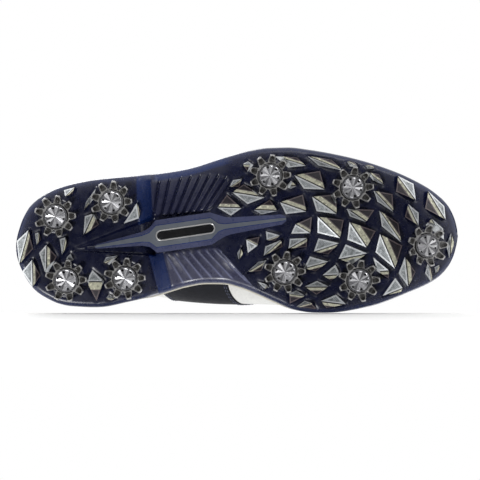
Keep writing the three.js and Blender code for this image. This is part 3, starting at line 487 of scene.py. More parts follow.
def finish_piece(obj, replaced=(), body="shoe"):
    if replaced:
        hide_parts(*replaced)
    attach(obj, body)
    return obj


def grid_faces(rows, columns, start=0):
    i, j = np.meshgrid(np.arange(rows - 1), np.arange(columns - 1), indexing="ij")
    corner = (start + i * columns + j).ravel()
    return np.stack([corner, corner + 1, corner + columns + 1, corner + columns], 1).tolist()


def ring_faces(rings, count, start=0, ends="open"):
    """Faces between rings of equal count, each closed on itself. The ends are open, capped or joined."""
    faces = []
    for i in range(rings - 1):
        for j in range(count):
            a, b = start + i * count + j, start + i * count + (j + 1) % count
            faces.append([a, b, b + count, a + count])
    last = start + (rings - 1) * count
    if ends == "capped":
        faces += [list(range(start, start + count)), list(range(last, last + count))]
    elif ends == "joined":
        steps = [(j, (j + 1) % count) for j in range(count)]
        faces += [[last + j, last + n, start + n, start + j] for j, n in steps]
    return faces


def border_places(rows, columns):
    """Rows and columns of a grid's border, once round it."""
    places = [(i, columns - 1) for i in range(rows)] + [(rows - 1, j) for j in range(columns - 2, -1, -1)]
    places += [(i, 0) for i in range(rows - 2, -1, -1)] + [(0, j) for j in range(1, columns - 1)]
    return np.array(places).T


def shell_faces(rows, columns):
    """Faces of a closed shell between two grids of equal size, one listed after the other."""
    count = rows * columns
    faces = grid_faces(rows, columns) + grid_faces(rows, columns, count)
    i, j = border_places(rows, columns)
    flat = i * columns + j
    return faces + [[a, b, b + count, a + count] for a, b in zip(flat, np.roll(flat, -1))]


def full_turn(sides):
    """Angles once round."""
    return np.linspace(0, 2 * np.pi, sides, endpoint=False)


def unit(rows):
    """The rows as unit vectors."""
    return rows / np.maximum(np.linalg.norm(rows, axis=-1, keepdims=True), 1e-12)


def swell(share, power):
    """A sine or cosine bent so that a ring of them is fuller than an ellipse."""
    return np.copysign(np.abs(share) ** power, share)


def make_bars(name, matrices, radius, low, high, sides):
    """Round bars on the z axes of the matrices, sizes in millimetres, to cut with."""
    points, faces = [], []
    for matrix in matrices:
        faces += ring_faces(2, sides, len(points), "capped")
        for z in (low, high):
            ring = [Vector((radius * math.cos(t), radius * math.sin(t), z)) * MM for t in full_turn(sides)]
            points += [list(matrix @ place) for place in ring]
    return make_object(name, points, faces, [])


def in_frame(u, v, z):
    """Arrays of sheet places, in millimetres, as rows of points in metres."""
    u, v, z = np.broadcast_arrays(u, v, z)
    return np.stack([(u - SHEET_U) * MM, (SHEET_V - v) * MM, z * MM], -1).reshape(-1, 3)


def segment_distance(u, v, start, end):
    """Distance of each place from a segment on the sheet, and how far along it the nearest point is."""
    along = np.array(end, float) - start
    share = np.clip(((u - start[0]) * along[0] + (v - start[1]) * along[1]) / (along @ along), 0, 1)
    return np.hypot(u - start[0] - share * along[0], v - start[1] - share * along[1]), share


def polygon_distance(u, v, corners):
    """Distance of each place from a convex polygon's edge, below 0 inside it."""
    ends = corners[1:] + corners[:1]
    turning = sum(a[0] * b[1] - b[0] * a[1] for a, b in zip(corners, ends))
    nearest = np.full(np.shape(u), np.inf)
    inside = np.ones(np.shape(u), bool)
    for a, b in zip(corners, ends):
        nearest = np.minimum(nearest, segment_distance(u, v, a, b)[0])
        side = (b[0] - a[0]) * (v - a[1]) - (b[1] - a[1]) * (u - a[0])
        inside &= side * turning > 0
    return np.where(inside, -nearest, nearest)


# ------------------------------------------------------------ the tread's pattern


# Each lug: the two ends of its ridge, the foot of its light face, the foot of its dark face and the
# width of the flat strip along the ridge.
HEEL_LUGS = [
    [[16.4, 10.5], [9.3, -11.7], [7.8, 3.6], [18.5, -2], 2],
    [[17.9, -9.2], [17.4, -27.3], [10.5, -16.7], [22.5, -20], 2],
    [[27.8, 0.2], [26.6, -19.9], [22.3, -4.9], [34, -8], 2.5],
    [[23, 8.7], [21.4, 0.5], [20.2, 8], [24.2, 4], 0.8],
    [[40.6, 4.6], [37.9, -6.6], [36.3, 3.7], [41.5, -1], 1.2],
    [[40.1, -9.6], [45, -10.5], [43.1, -6.2], [43, -11.6], 0.8],
    [[48.2, 37.4], [41.6, 31.7], [40.7, 36], [46.5, 33.4], 1],
    [[53.7, 22.3], [61.8, 36], [55, 27.5], [59.5, 28.5], 1],
    [[59.7, 19.5], [52.7, 5.7], [53.7, 18], [63, 12], 3],
    [[53.3, -25], [64.5, -25.5], [57.1, -17.8], [59, -38.5], 5.5],
    [[65.1, -12.9], [74.8, -9.1], [66.5, -9.6], [68.5, -15], 1.2],
    [[65.7, -36.7], [71.4, -37.3], [67.5, -34.3], [68.8, -39], 0.8],
    [[88.7, 25], [89.7, 15], [79.3, 12], [91, 20], 0.8],
]
FOREFOOT_LUGS = [
    [[150.5, 33], [159, 38], [153, 37.5], [157, 33], 1],
    [[160, 47.6], [167, 47], [163.5, 49.5], [163, 42.5], 1.5],
    [[152.3, 29.3], [173.3, 24.9], [162, 21.2], [160, 34.5], 2.5],
    [[142, 19.7], [157.8, 18.6], [150.6, 14], [148.5, 28], 2.5],
    [[166, 17], [181.4, 15.7], [171, 14], [177, 23.5], 3.5],
    [[188, 31.5], [195, 31.5], [191, 30], [191.5, 35.4], 2.5],
    [[181.5, 52], [201.6, 44.7], [190.1, 44.2], [196, 50.5], 1.5],
    [[203.2, 51], [225.6, 40.7], [210.3, 44.6], [219, 48], 1.5],
    [[193.9, 38.7], [213.3, 28.5], [199.8, 29.6], [211, 41], 3.5],
    [[183.5, 21.3], [200.5, 14.4], [187.1, 13.4], [199, 25.8], 3],
    [[204.9, 24], [220.5, 11.9], [207.6, 14.4], [221, 25], 3.5],
    [[193, 6.3], [202.5, 0], [190, 0.3], [204.3, 10.8], 2],
    [[208, 10.6], [221.9, -4.1], [207.5, 0], [225.3, 7.8], 3.5],
    [[229, 46.3], [236, 42], [231, 43.2], [234.5, 45.5], 0.8],
    [[240.9, 43.2], [247, 41], [243, 40.6], [245.4, 43.2], 0.7],
    [[242, 38.5], [252.5, 30], [246, 33], [250, 37], 1.5],
    [[246, 26], [258.1, 11.7], [248.2, 19], [258.5, 23.5], 2],
    [[227.5, 14.9], [239.7, 5.8], [229.4, 10], [246, 13.5], 3],
    [[228.8, 6.1], [239.2, -11], [227.1, -5.4], [246.2, -0.5], 4.5],
    [[249, 12.7], [262.4, -8.5], [250.4, 2.5], [261.5, 4], 1.5],
    [[248.6, -2.8], [257.4, -25.9], [245.4, -14.6], [263.5, -11], 3.5],
    [[262.4, 35.2], [273.6, 18.8], [272.9, 29.8], [261, 25], 2],
    [[282.3, 24.3], [293.2, 5], [293.2, 14], [280, 13], 2.5],
    [[268.4, 16.2], [274.6, 2], [275.6, 10.3], [266, 8], 2],
    [[283.8, 5.9], [292, -8.4], [291.6, -0.8], [280, 2], 2],
    [[296.6, -4.6], [294.6, -20.6], [293.4, -12], [298.4, -11], 2.2],
    [[182.3, -0.5], [173.6, -3.2], [173.3, 2.6], [179, -4], 0.8],
    [[160, -2.4], [167.2, -6.7], [160.7, -11.2], [169, -0.8], 1],
    [[182.9, -3.7], [171.1, -13.5], [172.5, -7.4], [184, -8], 1.5],
    [[200.2, -3.1], [187.7, -9.5], [189, -3.1], [200, -9], 2],
    [[221.3, -7.5], [204.4, -12.3], [207.9, -3.7], [214, -14.5], 2],
    [[213.5, -19.4], [197.4, -22.9], [201.7, -15.4], [205, -25.5], 2],
    [[221, -28], [209.4, -28.2], [218.4, -21.7], [215, -32], 2.5],
    [[213, -35.8], [197.4, -35.1], [205.8, -31.8], [205, -41], 2.5],
    [[197.2, -41.2], [187, -39.3], [191.7, -37.5], [187, -46], 1.5],
    [[223.9, -48], [207.7, -45.2], [218, -41.5], [211, -50], 2.5],
    [[201, -46], [191.3, -48.1], [197, -44.6], [204.5, -50.4], 1],
    [[172.2, -32.5], [170.6, -35.2], [166.3, -30.6], [173.5, -35], 0.8],
    [[172.8, -16.5], [159.8, -23.6], [167.5, -17.4], [169, -23.6], 1.5],
    [[155.9, -7.7], [154.5, -15.5], [153.6, -11], [157.6, -11.5], 2],
    [[239.5, -15.1], [220.5, -17.9], [225.8, -8.5], [230, -21.5], 2.8],
    [[253.3, -26.9], [245.7, -27], [243.8, -18.1], [253.4, -32.5], 2.5],
    [[262, -39], [248.6, -43.6], [257.8, -32.3], [261, -41.5], 2],
    [[264.6, -18.7], [265.8, -38.1], [260.2, -29.2], [271.5, -29], 3],
    [[280, -24], [281.7, -36], [278, -30], [283, -29], 0.8],
    [[287.5, -25], [285, -30], [284.6, -26.5], [287.6, -28.4], 0.7],
]
# The arch's pattern: dark gaps between ribs on the outer side, crests of overlapping steps on the inner.
OUTER_GAPS = [
    [[98, 40.5], [97, 16.6]], [[104, 40.2], [99, 16.6]], [[111, 41], [104, 16.4]],
    [[118.8, 41.8], [108.6, 16.2]], [[125.5, 42.2], [113.2, 16.4]], [[132, 42.4], [118.2, 16.8]],
    [[138.2, 42.6], [123.2, 17.4]], [[144, 42], [128, 17.8]], [[149.2, 40.4], [133, 18.2]],
    [[152, 36], [139, 20]],
]
INNER_CRESTS = [
    [[101.5, -9.6], [106.3, -33.4]], [[106, -9.3], [117.2, -30.3]], [[111, -9], [123, -28]],
    [[116, -8.5], [130.4, -27.8]], [[121.3, -8.2], [136.3, -27.2]], [[127, -7.8], [144, -27.9]],
    [[132.3, -7.5], [150.5, -28.8]], [[137.8, -7.3], [160, -31.2]], [[141.3, -7.4], [165, -35.6]],
]


BRIDGE_LINE_U = [45, 60, 97, 142, 187]
BRIDGE_LINE_V = [-4, -2.4, 2.1, 6.6, 10.2]
BREAST_BAND = 9.5  # width of the smooth band at the heel's front edge
RIM_RADIUS = 4.0
SEAT_RADIUS = 10.6
MOAT_DEPTH, MOAT_WIDTH = 0.5, 2.4  # round each lug
LUG_BED = 0.9  # how much deeper the face lies under a lug
CHANNEL_START, CHANNEL_END = 45, 98  # the channel that widens forward along the heel
CHANNEL_HALF = 11.6


def strip_corners(lug, width):
    """Places on the dark face's two sides, at a distance from the ridge."""
    (pu, pv), (qu, qv), _, (du, dv), _ = lug
    length = math.hypot(qu - pu, qv - pv)
    depth = abs((qu - pu) * (dv - pv) - (qv - pv) * (du - pu)) / length
    share = min(width / depth, 0.9)
    return (pu + (du - pu) * share, pv + (dv - pv) * share), (qu + (du - qu) * share, qv + (dv - qv) * share)


def lug_foot(lug):
    return [lug[0], lug[2], lug[1], lug[3]]


def from_bridge_line(u, v):
    """How far a place lies to the outer side of the shank bridge's centre line."""
    return v - np.interp(u, BRIDGE_LINE_U, BRIDGE_LINE_V)


def breast_start(u, v):
    """Where the smooth band starts along the sole: straight on the outer side, slanting on the inner."""
    return np.where(v > 2, 88.8, 95 - (v + 10) * 0.2)


def between_lines(u, v, lines):
    """Where each place lies between two neighbouring lines: its share across the space, below 0 outside
    them all, its share along it, and its distance from the nearer line."""
    across = np.full(np.shape(u), -1.0)
    along, gap = np.zeros(np.shape(u)), np.zeros(np.shape(u))
    for (start, end), (next_start, next_end) in zip(lines, lines[1:]):
        before, share = line_offset(u, v, start, end)
        after, next_share = line_offset(u, v, next_start, next_end)
        inside = (before >= 0) & (after < 0)
        part = before / np.where(inside, before - after, 1)
        across = np.where(inside, part, across)
        along = np.where(inside, share * (1 - part) + next_share * part, along)
        gap = np.where(inside, np.minimum(before, -after), gap)
    return across, along, gap


def line_offset(u, v, start, end):
    """How far each place lies on the toe side of a line, and its share along the line."""
    along = np.array(end, float) - start
    length = np.hypot(*along)
    offset = ((u - start[0]) * along[1] - (v - start[1]) * along[0]) / length
    toe_side = -1 if along[1] > 0 else 1
    return -toe_side * offset, ((u - start[0]) * along[0] + (v - start[1]) * along[1]) / length**2


def bead(offset, width):
    """A low round bead, 1 at no offset."""
    return np.exp(-((offset / width) ** 2))


def lug_beds(u, v, deep):
    """Moats round the lugs, and smooth seats with a groove round the cleats."""
    for lug in HEEL_LUGS + FOREFOOT_LUGS:
        near = polygon_distance(u, v, lug_foot(lug))
        moat = MOAT_DEPTH * (1 - smoothstep(0, MOAT_WIDTH, near))
        deep = np.maximum(deep, moat + LUG_BED * smoothstep(0.2, 1.6, -near))
    for su, sv in CLEAT_STATIONS.values():
        reach = np.hypot(u - su, v - sv)
        deep = np.where(reach < 17, deep * smoothstep(SEAT_RADIUS, SEAT_RADIUS + 1.2, reach), deep)
        deep = deep + 0.5 * bead(reach - SEAT_RADIUS - 0.6, 0.5)
    return deep


def arch_ribs(u, v, side, past_band):
    """Rounded ribs on the arch's outer side: their relief and share of slate."""
    across, along, gap = between_lines(u, v, OUTER_GAPS)
    rounded = 1 - (2 * across - 1) ** 2
    before_ends = smoothstep(0, 0.03, 0.98 + 0.04 * rounded - along)
    shown = past_band * (across > 0) * smoothstep(-0.02, 0.1, along) * before_ends
    rib = smoothstep(0.15, 1.0, gap) * (0.75 + 0.25 * rounded)
    beside = (side > 0) * past_band * (across > 0) * (1 - shown) * (along > 0.9)
    return shown * (1.2 - 1.9 * rib) + 0.9 * beside, shown * rib * (0.2 + 0.35 * along)


def arch_steps(u, v, rim, past_band):
    """Overlapping steps on the arch's inner side: their relief, share of slate with a painted shadow of each
    step, and painted highlights along the crests.
    """
    across, along, gap = between_lines(u, v, INNER_CRESTS)
    shown = past_band * (across > 0) * smoothstep(-0.05, 0.02, along) * (rim > 0.6)
    height = 1.4 * smoothstep(-0.04, 0.12, along) * (1 - smoothstep(0.12, 1.0, along))
    height = height * smoothstep(0.6, 3, rim)
    # Less slate, so darker navy, just past each step's edge: a painted shadow of the step.
    slate = shown * (0.9 - 0.8 * (1 - across) ** 2 * (1 - smoothstep(0.3, 0.9, along)))
    # A pale line along each step's ridge: painted highlight.
    crest_highlight = shown * bead(gap, 0.45) * smoothstep(-0.02, 0.08, along) * (1 - smoothstep(0.9, 1.02, along))
    return shown * height * (0.45 - across), slate, crest_highlight


def tread_relief(u, v, rim):
    """Relief of the navy face in millimetres, deeper above 0, and its shares of bright blue, of slate and of
    pale highlight on the step crests.
    The bright blue is painted light at the rounded rim and the outer shank edge, plus a lighter band at the
    heel's breast; the slate drops as a painted shadow beside each step. Rim is the distance from the sole's
    edge."""
    deep = RIM_RADIUS - np.sqrt(np.maximum(0, RIM_RADIUS**2 - np.maximum(0, RIM_RADIUS - rim) ** 2))
    deep = lug_beds(u, v, deep)
    side = from_bridge_line(u, v)
    from_breast = u - breast_start(u, v)
    past_band = smoothstep(BREAST_BAND - 0.4, BREAST_BAND + 0.4, from_breast)
    rib_relief, rib_slate = arch_ribs(u, v, side, past_band)
    step_relief, step_slate, crest_highlight = arch_steps(u, v, rim, past_band)
    deep = deep + rib_relief + step_relief

    widening = np.clip((u - CHANNEL_START) / (CHANNEL_END - CHANNEL_START), 0, 1)
    half = np.maximum(CHANNEL_HALF * widening, 0.05)
    across = np.abs(side) / half
    floor = np.where(side > 0, 0.5 + 3.2 * widening * np.clip(across, 0, 1), 1.0 + 2.9 * widening)
    wall = 1 - smoothstep(0, np.where(side > 0, 2.2, 0.9), (across - 1) * half)
    in_channel = (u > CHANNEL_START) & (u < CHANNEL_END + 1)
    deep = np.where(in_channel, np.maximum(deep, floor * wall), deep)

    beside_channel = across > 1
    for edge in (0, BREAST_BAND):
        deep = deep + 0.5 * bead(from_breast - edge, 0.5) * beside_channel
    band = smoothstep(-0.4, 0.4, from_breast) * (1 - past_band) * beside_channel
    shank_edge = smoothstep(98, 102, u) * (1 - smoothstep(146, 156, u)) * (v > 0)
    shank_edge = shank_edge * (1 - smoothstep(3.5, 6, rim))
    # Bright blue share: painted light through the thin rounded rim and on the outer shank edge; a lighter
    # band at the heel's breast.
    blue = np.maximum(0.4 * (1 - smoothstep(0.4, 4.5, rim)), np.maximum(0.75 * band, 0.7 * shank_edge))
    return deep, {"tone": blue, "slate": np.maximum(rib_slate, step_slate), "crest_highlight": crest_highlight}


def sole_stations(step):
    """Stations along the sole that crowd towards its two round ends."""
    start, end, round_end = OUTLINE_OUTER[0][0], OUTLINE_OUTER[-1][0], 8.0
    crowd = round_end * np.linspace(0, 1, 16)[:-1] ** 2
    middle = np.arange(start + round_end, end - round_end, step)
    return np.concatenate([start + crowd, middle, end - crowd[::-1]])


def outline_loop(step=2.0):
    """The sole's outline as a closed loop: out along the outer side, back along the inner."""
    us = sole_stations(step)
    outer, inner = np.stack([us, outline_outer(us)], 1), np.stack([us, outline_inner(us)], 1)
    return np.concatenate([outer, inner[::-1]])


def grow_loop(loop, distance):
    """Moves a closed loop's points outward along its normals, by one distance or one for each point."""
    along = unit(np.roll(loop, -1, 0) - np.roll(loop, 1, 0))
    return loop + np.reshape(distance, (-1, 1)) * np.stack([-along[:, 1], along[:, 0]], 1)


def nearest_distance(us, vs, loop):
    tree = KDTree(len(loop))
    for i, (lu, lv) in enumerate(loop):
        tree.insert((lu, lv, 0), i)
    tree.balance()
    return np.array([tree.find((u, v, 0))[2] for u, v in zip(us.ravel(), vs.ravel())]).reshape(us.shape)


def make_outsole():
    """The navy sheet: its shaped face, a plain wall down to its back, and a flat back."""
    us = sole_stations(0.6)
    even = np.linspace(0, 1, 144)
    share = 0.65 * even + 0.35 * (1 - np.cos(np.pi * even)) / 2
    outer, inner = outline_outer(us), outline_inner(us)
    u = np.repeat(us[:, None], len(share), 1)
    v = inner[:, None] + (outer - inner)[:, None] * share
    rim = nearest_distance(u, v, outline_loop(0.5))
    rim[0], rim[-1], rim[:, 0], rim[:, -1] = 0, 0, 0, 0
    deep, shares = tread_relief(u, v, rim)
    face = in_frame(u, v, tread_height(u) + deep)
    rows, columns = u.shape
    faces = grid_faces(rows, columns)

    i, j = border_places(rows, columns)
    wall = in_frame(u[i, j], v[i, j], tread_height(u[i, j]) + OUTSOLE_THICKNESS)
    first, count = rows * columns, len(i)
    flat, low = i * columns + j, first + np.arange(count)
    faces += np.stack([flat, low, np.roll(low, -1), np.roll(flat, -1)], 1).tolist()
    outer_side = low[:rows]
    inner_side = low[rows + columns - 2 : 2 * rows + columns - 2][::-1]
    faces += np.stack([outer_side[:-1], inner_side[:-1], inner_side[1:], outer_side[1:]], 1).tolist()
    faces += [[low[0], *low[: inner_side[0] - first - 1 : -1]], low[rows - 1 : rows + columns - 1].tolist()]
    shades = {name: [*share.ravel(), *[0.0] * count] for name, share in shares.items()}
    points = np.concatenate([face, wall])
    obj = make_object("outsole_skin", points, faces, [NAVY], smooth=True, tones=shades)
    finish_piece(obj, ["outsole"])


# ------------------------------------------------------------ lugs

# The light face's bright rim is partly a painted highlight. The dark face, its rim, the groove by the ridge
# and the lug's sides are mostly painted shade. The cream ridge is the lug's own colour.
LUG_MATERIALS = [SILVER_AND_HIGHLIGHT, TEXTURED, CREAM, DARK_AND_SHADE, STRIPE, NAVY]
LIGHT_RIM, LIGHT_FIELD, RIDGE, DARK_FIELD, DARK_RIM, ROOT = range(6)  # their places in the list
LUG_ROOT = 2.2  # how far a lug runs on into the navy face


def inradius(corners):
    sides = [np.linalg.norm(corners[i] - corners[i - 1]) for i in range(3)]
    area = np.linalg.norm(np.cross(corners[1] - corners[0], corners[2] - corners[0])) / 2
    return 2 * area / sum(sides)


def incentre(corners):
    weights = [np.linalg.norm(corners[(i + 1) % 3] - corners[(i + 2) % 3]) for i in range(3)]
    return sum(w * c for w, c in zip(weights, corners)) / sum(weights)


def framed_triangle(points, faces, kinds, ring, rim, drop, rim_kind, fill_kind):
    """A triangular facet with a raised rim round a sunk field. Its outer corners are there already."""
    where = np.array([points[i] for i in ring])
    centre, radius = incentre(where), inradius(where)
    rim = min(rim, 0.4 * radius)
    for inset, sink in ((rim, 0), (rim + 0.22 * min(1, radius / 2), drop)):
        share = 1 - min(inset / radius, 0.85)
        start = len(points)
        points += list(centre + (where - centre) * share + np.array([0, 0, sink]))
        inner = [start, start + 1, start + 2]
        faces += [[ring[k - 1], ring[k], inner[k], inner[k - 1]] for k in range(3)]
        kinds += [rim_kind] * 3
        ring = inner
    faces.append(ring)
    kinds.append(fill_kind)


def add_lug(points, faces, kinds, lug):
    """Adds one lug: its corners as u, v and z in millimetres, its faces and their materials."""
    p, q, s, d, width = lug
    groove = min(0.75, 0.3 * width)

    def put(place, drop):
        points.append(np.array([place[0], place[1], float(tread_height(place[0])) - LUG_HEIGHT + drop]))
        return len(points) - 1

    top_p, top_q = put(p, 0), put(q, 0)
    low_p, low_q = (put(c, 0.55 if width > 1 else 0.25) for c in strip_corners(lug, groove / 2))
    near_p, near_q = (put(c, 0) for c in strip_corners(lug, groove))
    far_p, far_q = (put(c, 0) for c in strip_corners(lug, width))
    foot_p, foot_s, foot_q, foot_d = foot = [put(c, LUG_HEIGHT) for c in (p, s, q, d)]
    root = [put(c, LUG_HEIGHT + LUG_ROOT) for c in (p, s, q, d)]
    # Light face: painted highlight on its rim. Dark face: painted shade.
    framed_triangle(points, faces, kinds, [top_p, top_q, foot_s], 0.95, 0.35, LIGHT_RIM, LIGHT_FIELD)
    framed_triangle(points, faces, kinds, [far_p, foot_d, far_q], 0.6, 0.25, DARK_RIM, DARK_FIELD)
    # The groove by the ridge and the lug's sides take the dark face's painted shade.
    solid_faces = [
        ([top_p, low_p, low_q, top_q], DARK_FIELD),
        ([low_p, near_p, near_q, low_q], DARK_FIELD),
        ([near_p, far_p, far_q, near_q], RIDGE),
        ([top_p, foot_p, foot_s], LIGHT_RIM),
        ([top_q, foot_s, foot_q], LIGHT_RIM),
        ([top_p, low_p, near_p, far_p, foot_d, foot_p], DARK_FIELD),
        ([top_q, foot_q, foot_d, far_q, near_q, low_q], DARK_FIELD),
        (root, ROOT),
    ]
    solid_faces += [([foot[k - 1], root[k - 1], root[k], foot[k]], ROOT) for k in range(4)]
    faces += [face for face, _ in solid_faces]
    kinds += [kind for _, kind in solid_faces]


def make_lugs(name, lugs, node):
    """The lugs of one sheet, cut clear of the cleats' turning legs."""
    points, faces, kinds = [], [], []
    for lug in lugs:
        add_lug(points, faces, kinds, lug)
    u, v, z = np.array(points).T
    obj = make_object(name, in_frame(u, v, z), faces, LUG_MATERIALS, kinds)
    stations = [station_matrix(u, v) for u, v in CLEAT_STATIONS.values()]
    cut(obj, make_bars("cleat_cutter", stations, CLEAT_CLEARANCE, -2 * CLEAT_HEIGHT, 0.2, 48))
    soften(obj, 0.14, 2, 25)
    finish_piece(obj, [node])


# ------------------------------------------------------------ cleats

CLEAT_CLEARANCE = 15.2
LEG_COUNT = 9
LEG_SIDES = 24
CLEAT_PROFILE = [
    (0, 5.8), (3.7, 5.8), (4.2, 5.3), (4.2, -0.3), (8.8, -0.3), (9.1, -0.6), (9.1, -1.3), (8.8, -1.6),
    (8.5, -1.7), (8.2, -1.6), (0, -1.6),
]
# The middle of a leg, out from the axis and down, with its width and thickness.
LEG_COURSE = [
    (8.6, -1.45, 5.3, 1.7), (10.0, -1.55, 5.1, 1.9), (11.3, -2.1, 4.7, 2.1), (12.3, -3.0, 4.3, 2.2),
    (12.9, -4.1, 3.8, 2.1), (13.2, -5.2, 3.3, 1.8), (13.3, -5.85, 2.5, 1.1),
]


def station_matrix(u, v):
    slope = math.atan((float(tread_height(u + 1)) - float(tread_height(u - 1))) / 2)
    return Matrix.Translation(at(u, v, float(tread_height(u)))) @ Matrix.Rotation(-slope, 4, "Y")


def lathe(profile, sides, ends):
    """Points and faces of a round piece from its radii and heights."""
    points = [(r * math.cos(t), r * math.sin(t), z) for r, z in profile for t in full_turn(sides)]
    return points, ring_faces(len(profile), sides, ends=ends)


def cleat_mesh():
    """A cleat's stem and hub, with legs that curve out and down and are hollow on their inner face."""
    points, faces = lathe([(max(r, 0.01), z) for r, z in CLEAT_PROFILE], 72, "capped")
    course = np.array(LEG_COURSE)
    shares = np.linspace(0, 1, len(course))
    fine = np.linspace(0, 1, 17)
    course = np.stack([curve_through(np.stack([shares, column], 1))(fine) for column in course.T], 1)
    slopes = unit(np.gradient(course[:, :2], axis=0))
    for leg in range(LEG_COUNT):
        spin = leg / LEG_COUNT * 2 * math.pi
        faces += ring_faces(len(course), LEG_SIDES, len(points), "capped")
        for (r, z, width, thick), (dr, dz) in zip(course, slopes):
            for t in full_turn(LEG_SIDES):
                across = width / 2 * swell(math.cos(t), 0.6)
                hollow = 0.6 * math.exp(-((across / (0.3 * width)) ** 2)) if math.sin(t) < 0 else 0
                up = thick / 2 * swell(math.sin(t), 0.6) * (1 - hollow)
                out, height = r - dz * up, max(z + dr * up, -CLEAT_HEIGHT)
                x = out * math.cos(spin) - across * math.sin(spin)
                y = out * math.sin(spin) + across * math.cos(spin)
                points.append((x, y, height))
    return points, faces


DISC_FACETS = 16
DISC_FACE = -3.9  # height of the disc's outer face below the cleat's seat
STAR_RADIUS = 6.9
GROOVE_RADIUS = 7.1
PIT_COUNT, PIT_CIRCLE, PIT_RADIUS = 6, 5.7, 0.75


def disc_mesh():
    """A domed disc with a star of creased facets and a ring of small pits; every other facet carries a
    painted highlight, the side a weaker one, and the pits painted shade.
    """
    sides = DISC_FACETS * 8
    turn = full_turn(sides)
    radii = np.concatenate([[0.15], np.linspace(0.6, STAR_RADIUS, 22), [GROOVE_RADIUS, 7.35, 7.6, 7.75]])
    crease = np.abs((turn / (2 * np.pi) * DISC_FACETS) % 2 - 1)
    # Every other facet is the lit one: its tone is a painted highlight.
    lit = ((turn + 1e-6) / (2 * np.pi) * DISC_FACETS % 2 < 1).astype(float)
    pit_turn = (np.arange(PIT_COUNT) + 0.3) / PIT_COUNT * 2 * math.pi
    pit_places = [(PIT_CIRCLE * math.cos(a), PIT_CIRCLE * math.sin(a)) for a in pit_turn]
    points, bright, pits = [], [], []
    for r in radii:
        rise = 0.5 * (r / STAR_RADIUS) * (r < GROOVE_RADIUS - 0.1) * (1 - smoothstep(6.2, STAR_RADIUS, r))
        groove = 0.3 * math.exp(-(((r - GROOVE_RADIUS) / 0.15) ** 2))
        for t, c, b in zip(turn, crease, lit):
            x, y = r * math.cos(t), r * math.sin(t)
            nearest = min(math.hypot(x - px, y - py) for px, py in pit_places)
            pit = min(1.0, max(0.0, 1 - nearest / PIT_RADIUS) * 2.5)
            points.append((x, y, DISC_FACE + rise * c + groove + 0.7 * pit))
            bright.append(b * (r < STAR_RADIUS))
            pits.append(pit)
    side_profile = [(7.85, -3.75), (7.85, -3.2), (7.5, -2.75)]
    points += lathe(side_profile, sides, "open")[0]
    # The side takes a weaker painted highlight.
    bright += [0.3] * (sides * len(side_profile))
    pits += [0.0] * (sides * len(side_profile))
    return points, ring_faces(len(points) // sides, sides, ends="capped"), bright, pits


def make_cleats():
    cleat_points, cleat_faces = cleat_mesh()
    disc_points, disc_faces, bright, pits = disc_mesh()
    cleat_points, disc_points = np.array(cleat_points) * MM, np.array(disc_points) * MM
    # tone: painted highlight on the lit facets; pit: painted shade in the pits.
    tones = {"tone": bright, "pit": pits}
    for station, (u, v) in CLEAT_STATIONS.items():
        cleat = make_object(f"{station}_spikes", cleat_points, cleat_faces, [SMOKY], smooth=True)
        cleat.data.set_sharp_from_angle(angle=math.radians(40))
        disc = make_object(f"{station}_star_disc", disc_points, disc_faces, [DISC], tones=tones)
        for obj in (cleat, disc):
            obj.matrix_world = station_matrix(u, v)
        finish_piece(cleat, [f"{station}_cleat"], f"{station}_spike")
        finish_piece(disc, [f"{station}_cleat_disc"], f"{station}_spike")


# ------------------------------------------------------------ shank bridge and badge

BRIDGE_FACE = 5.4
# Along the bridge: place u, half width of the grey face, half width of the navy foot, drop of the foot.
BRIDGE_SECTIONS = [
    (59.5, 0.3, 0.9, 0.9), (61, 0.8, 1.6, 1.0), (91, 1.9, 4.6, 1.6), (96, 3.0, 6.4, 2.2),
    (100.5, 7.0, 10.8, 2.4), (137, 7.0, 10.8, 2.0), (142, 2.6, 8.4, 1.1), (146, 1.6, 6.6, 0.6),
    (150, 1.5, 5.6, 0.4), (184, 1.0, 3.4, 0.4), (186.5, 0.8, 2.0, 0.45), (187.2, 0.3, 0.9, 0.45),
]
BRIDGE_LINE = 0.45  # width of the blue line round the grey face
BRIDGE_MATERIALS = [GREY, NAVY, SLATE, BLUE]
BRIDGE_RING = [1, 2, 3, 3, 0, 3, 3, 2, 1, 1]  # the material of each face round the bridge, from the list


def make_bridge():
    """The stiffening bridge along the arch, with a pocket for the badge."""
    points = []
    for u, half, foot, drop in BRIDGE_SECTIONS:
        v = float(np.interp(u, BRIDGE_LINE_U, BRIDGE_LINE_V))
        root = float(tread_height(u)) + 1.2
        low = min(BRIDGE_FACE + drop, root - 0.2)
        line = half + min(BRIDGE_LINE, 0.3 * half)
        step = BRIDGE_FACE + 0.5
        row = [(foot, root), (foot, low), (line, step), (half, step), (half, BRIDGE_FACE)]
        points += [(u, v - across, z) for across, z in row]
        points += [(u, v + across, z) for across, z in row[::-1]]
    count = len(BRIDGE_RING)
    faces = ring_faces(len(BRIDGE_SECTIONS), count, ends="capped")
    kinds = BRIDGE_RING * (len(BRIDGE_SECTIONS) - 1) + [1, 1]
    u, v, z = np.array(points).T
    obj = make_object("shank_bridge_fine", in_frame(u, v, z), faces, BRIDGE_MATERIALS, kinds)
    soften(obj, 0.25, 2, 20)
    settle(obj)
    section = plate_section(-5, BRIDGE_FACE + 1.9, 0)
    cut(obj, stadium_solid("badge_pocket_cutter", 40.4, 7.9, section, "capped", []))
    finish_piece(obj, ["shank_bridge"])


def stadium_loop(length, width, steps=24):
    radius, straight = width / 2, (length - width) / 2
    turn = np.linspace(-np.pi / 2, np.pi / 2, steps)
    front = np.stack([straight + radius * np.cos(turn), radius * np.sin(turn)], 1)
    return np.concatenate([front, -front])


BADGE_LINE = ((96, 2), (142, 6.6))
BADGE_SHIFT = (1, 0.3)  # of the badge from the middle of its line


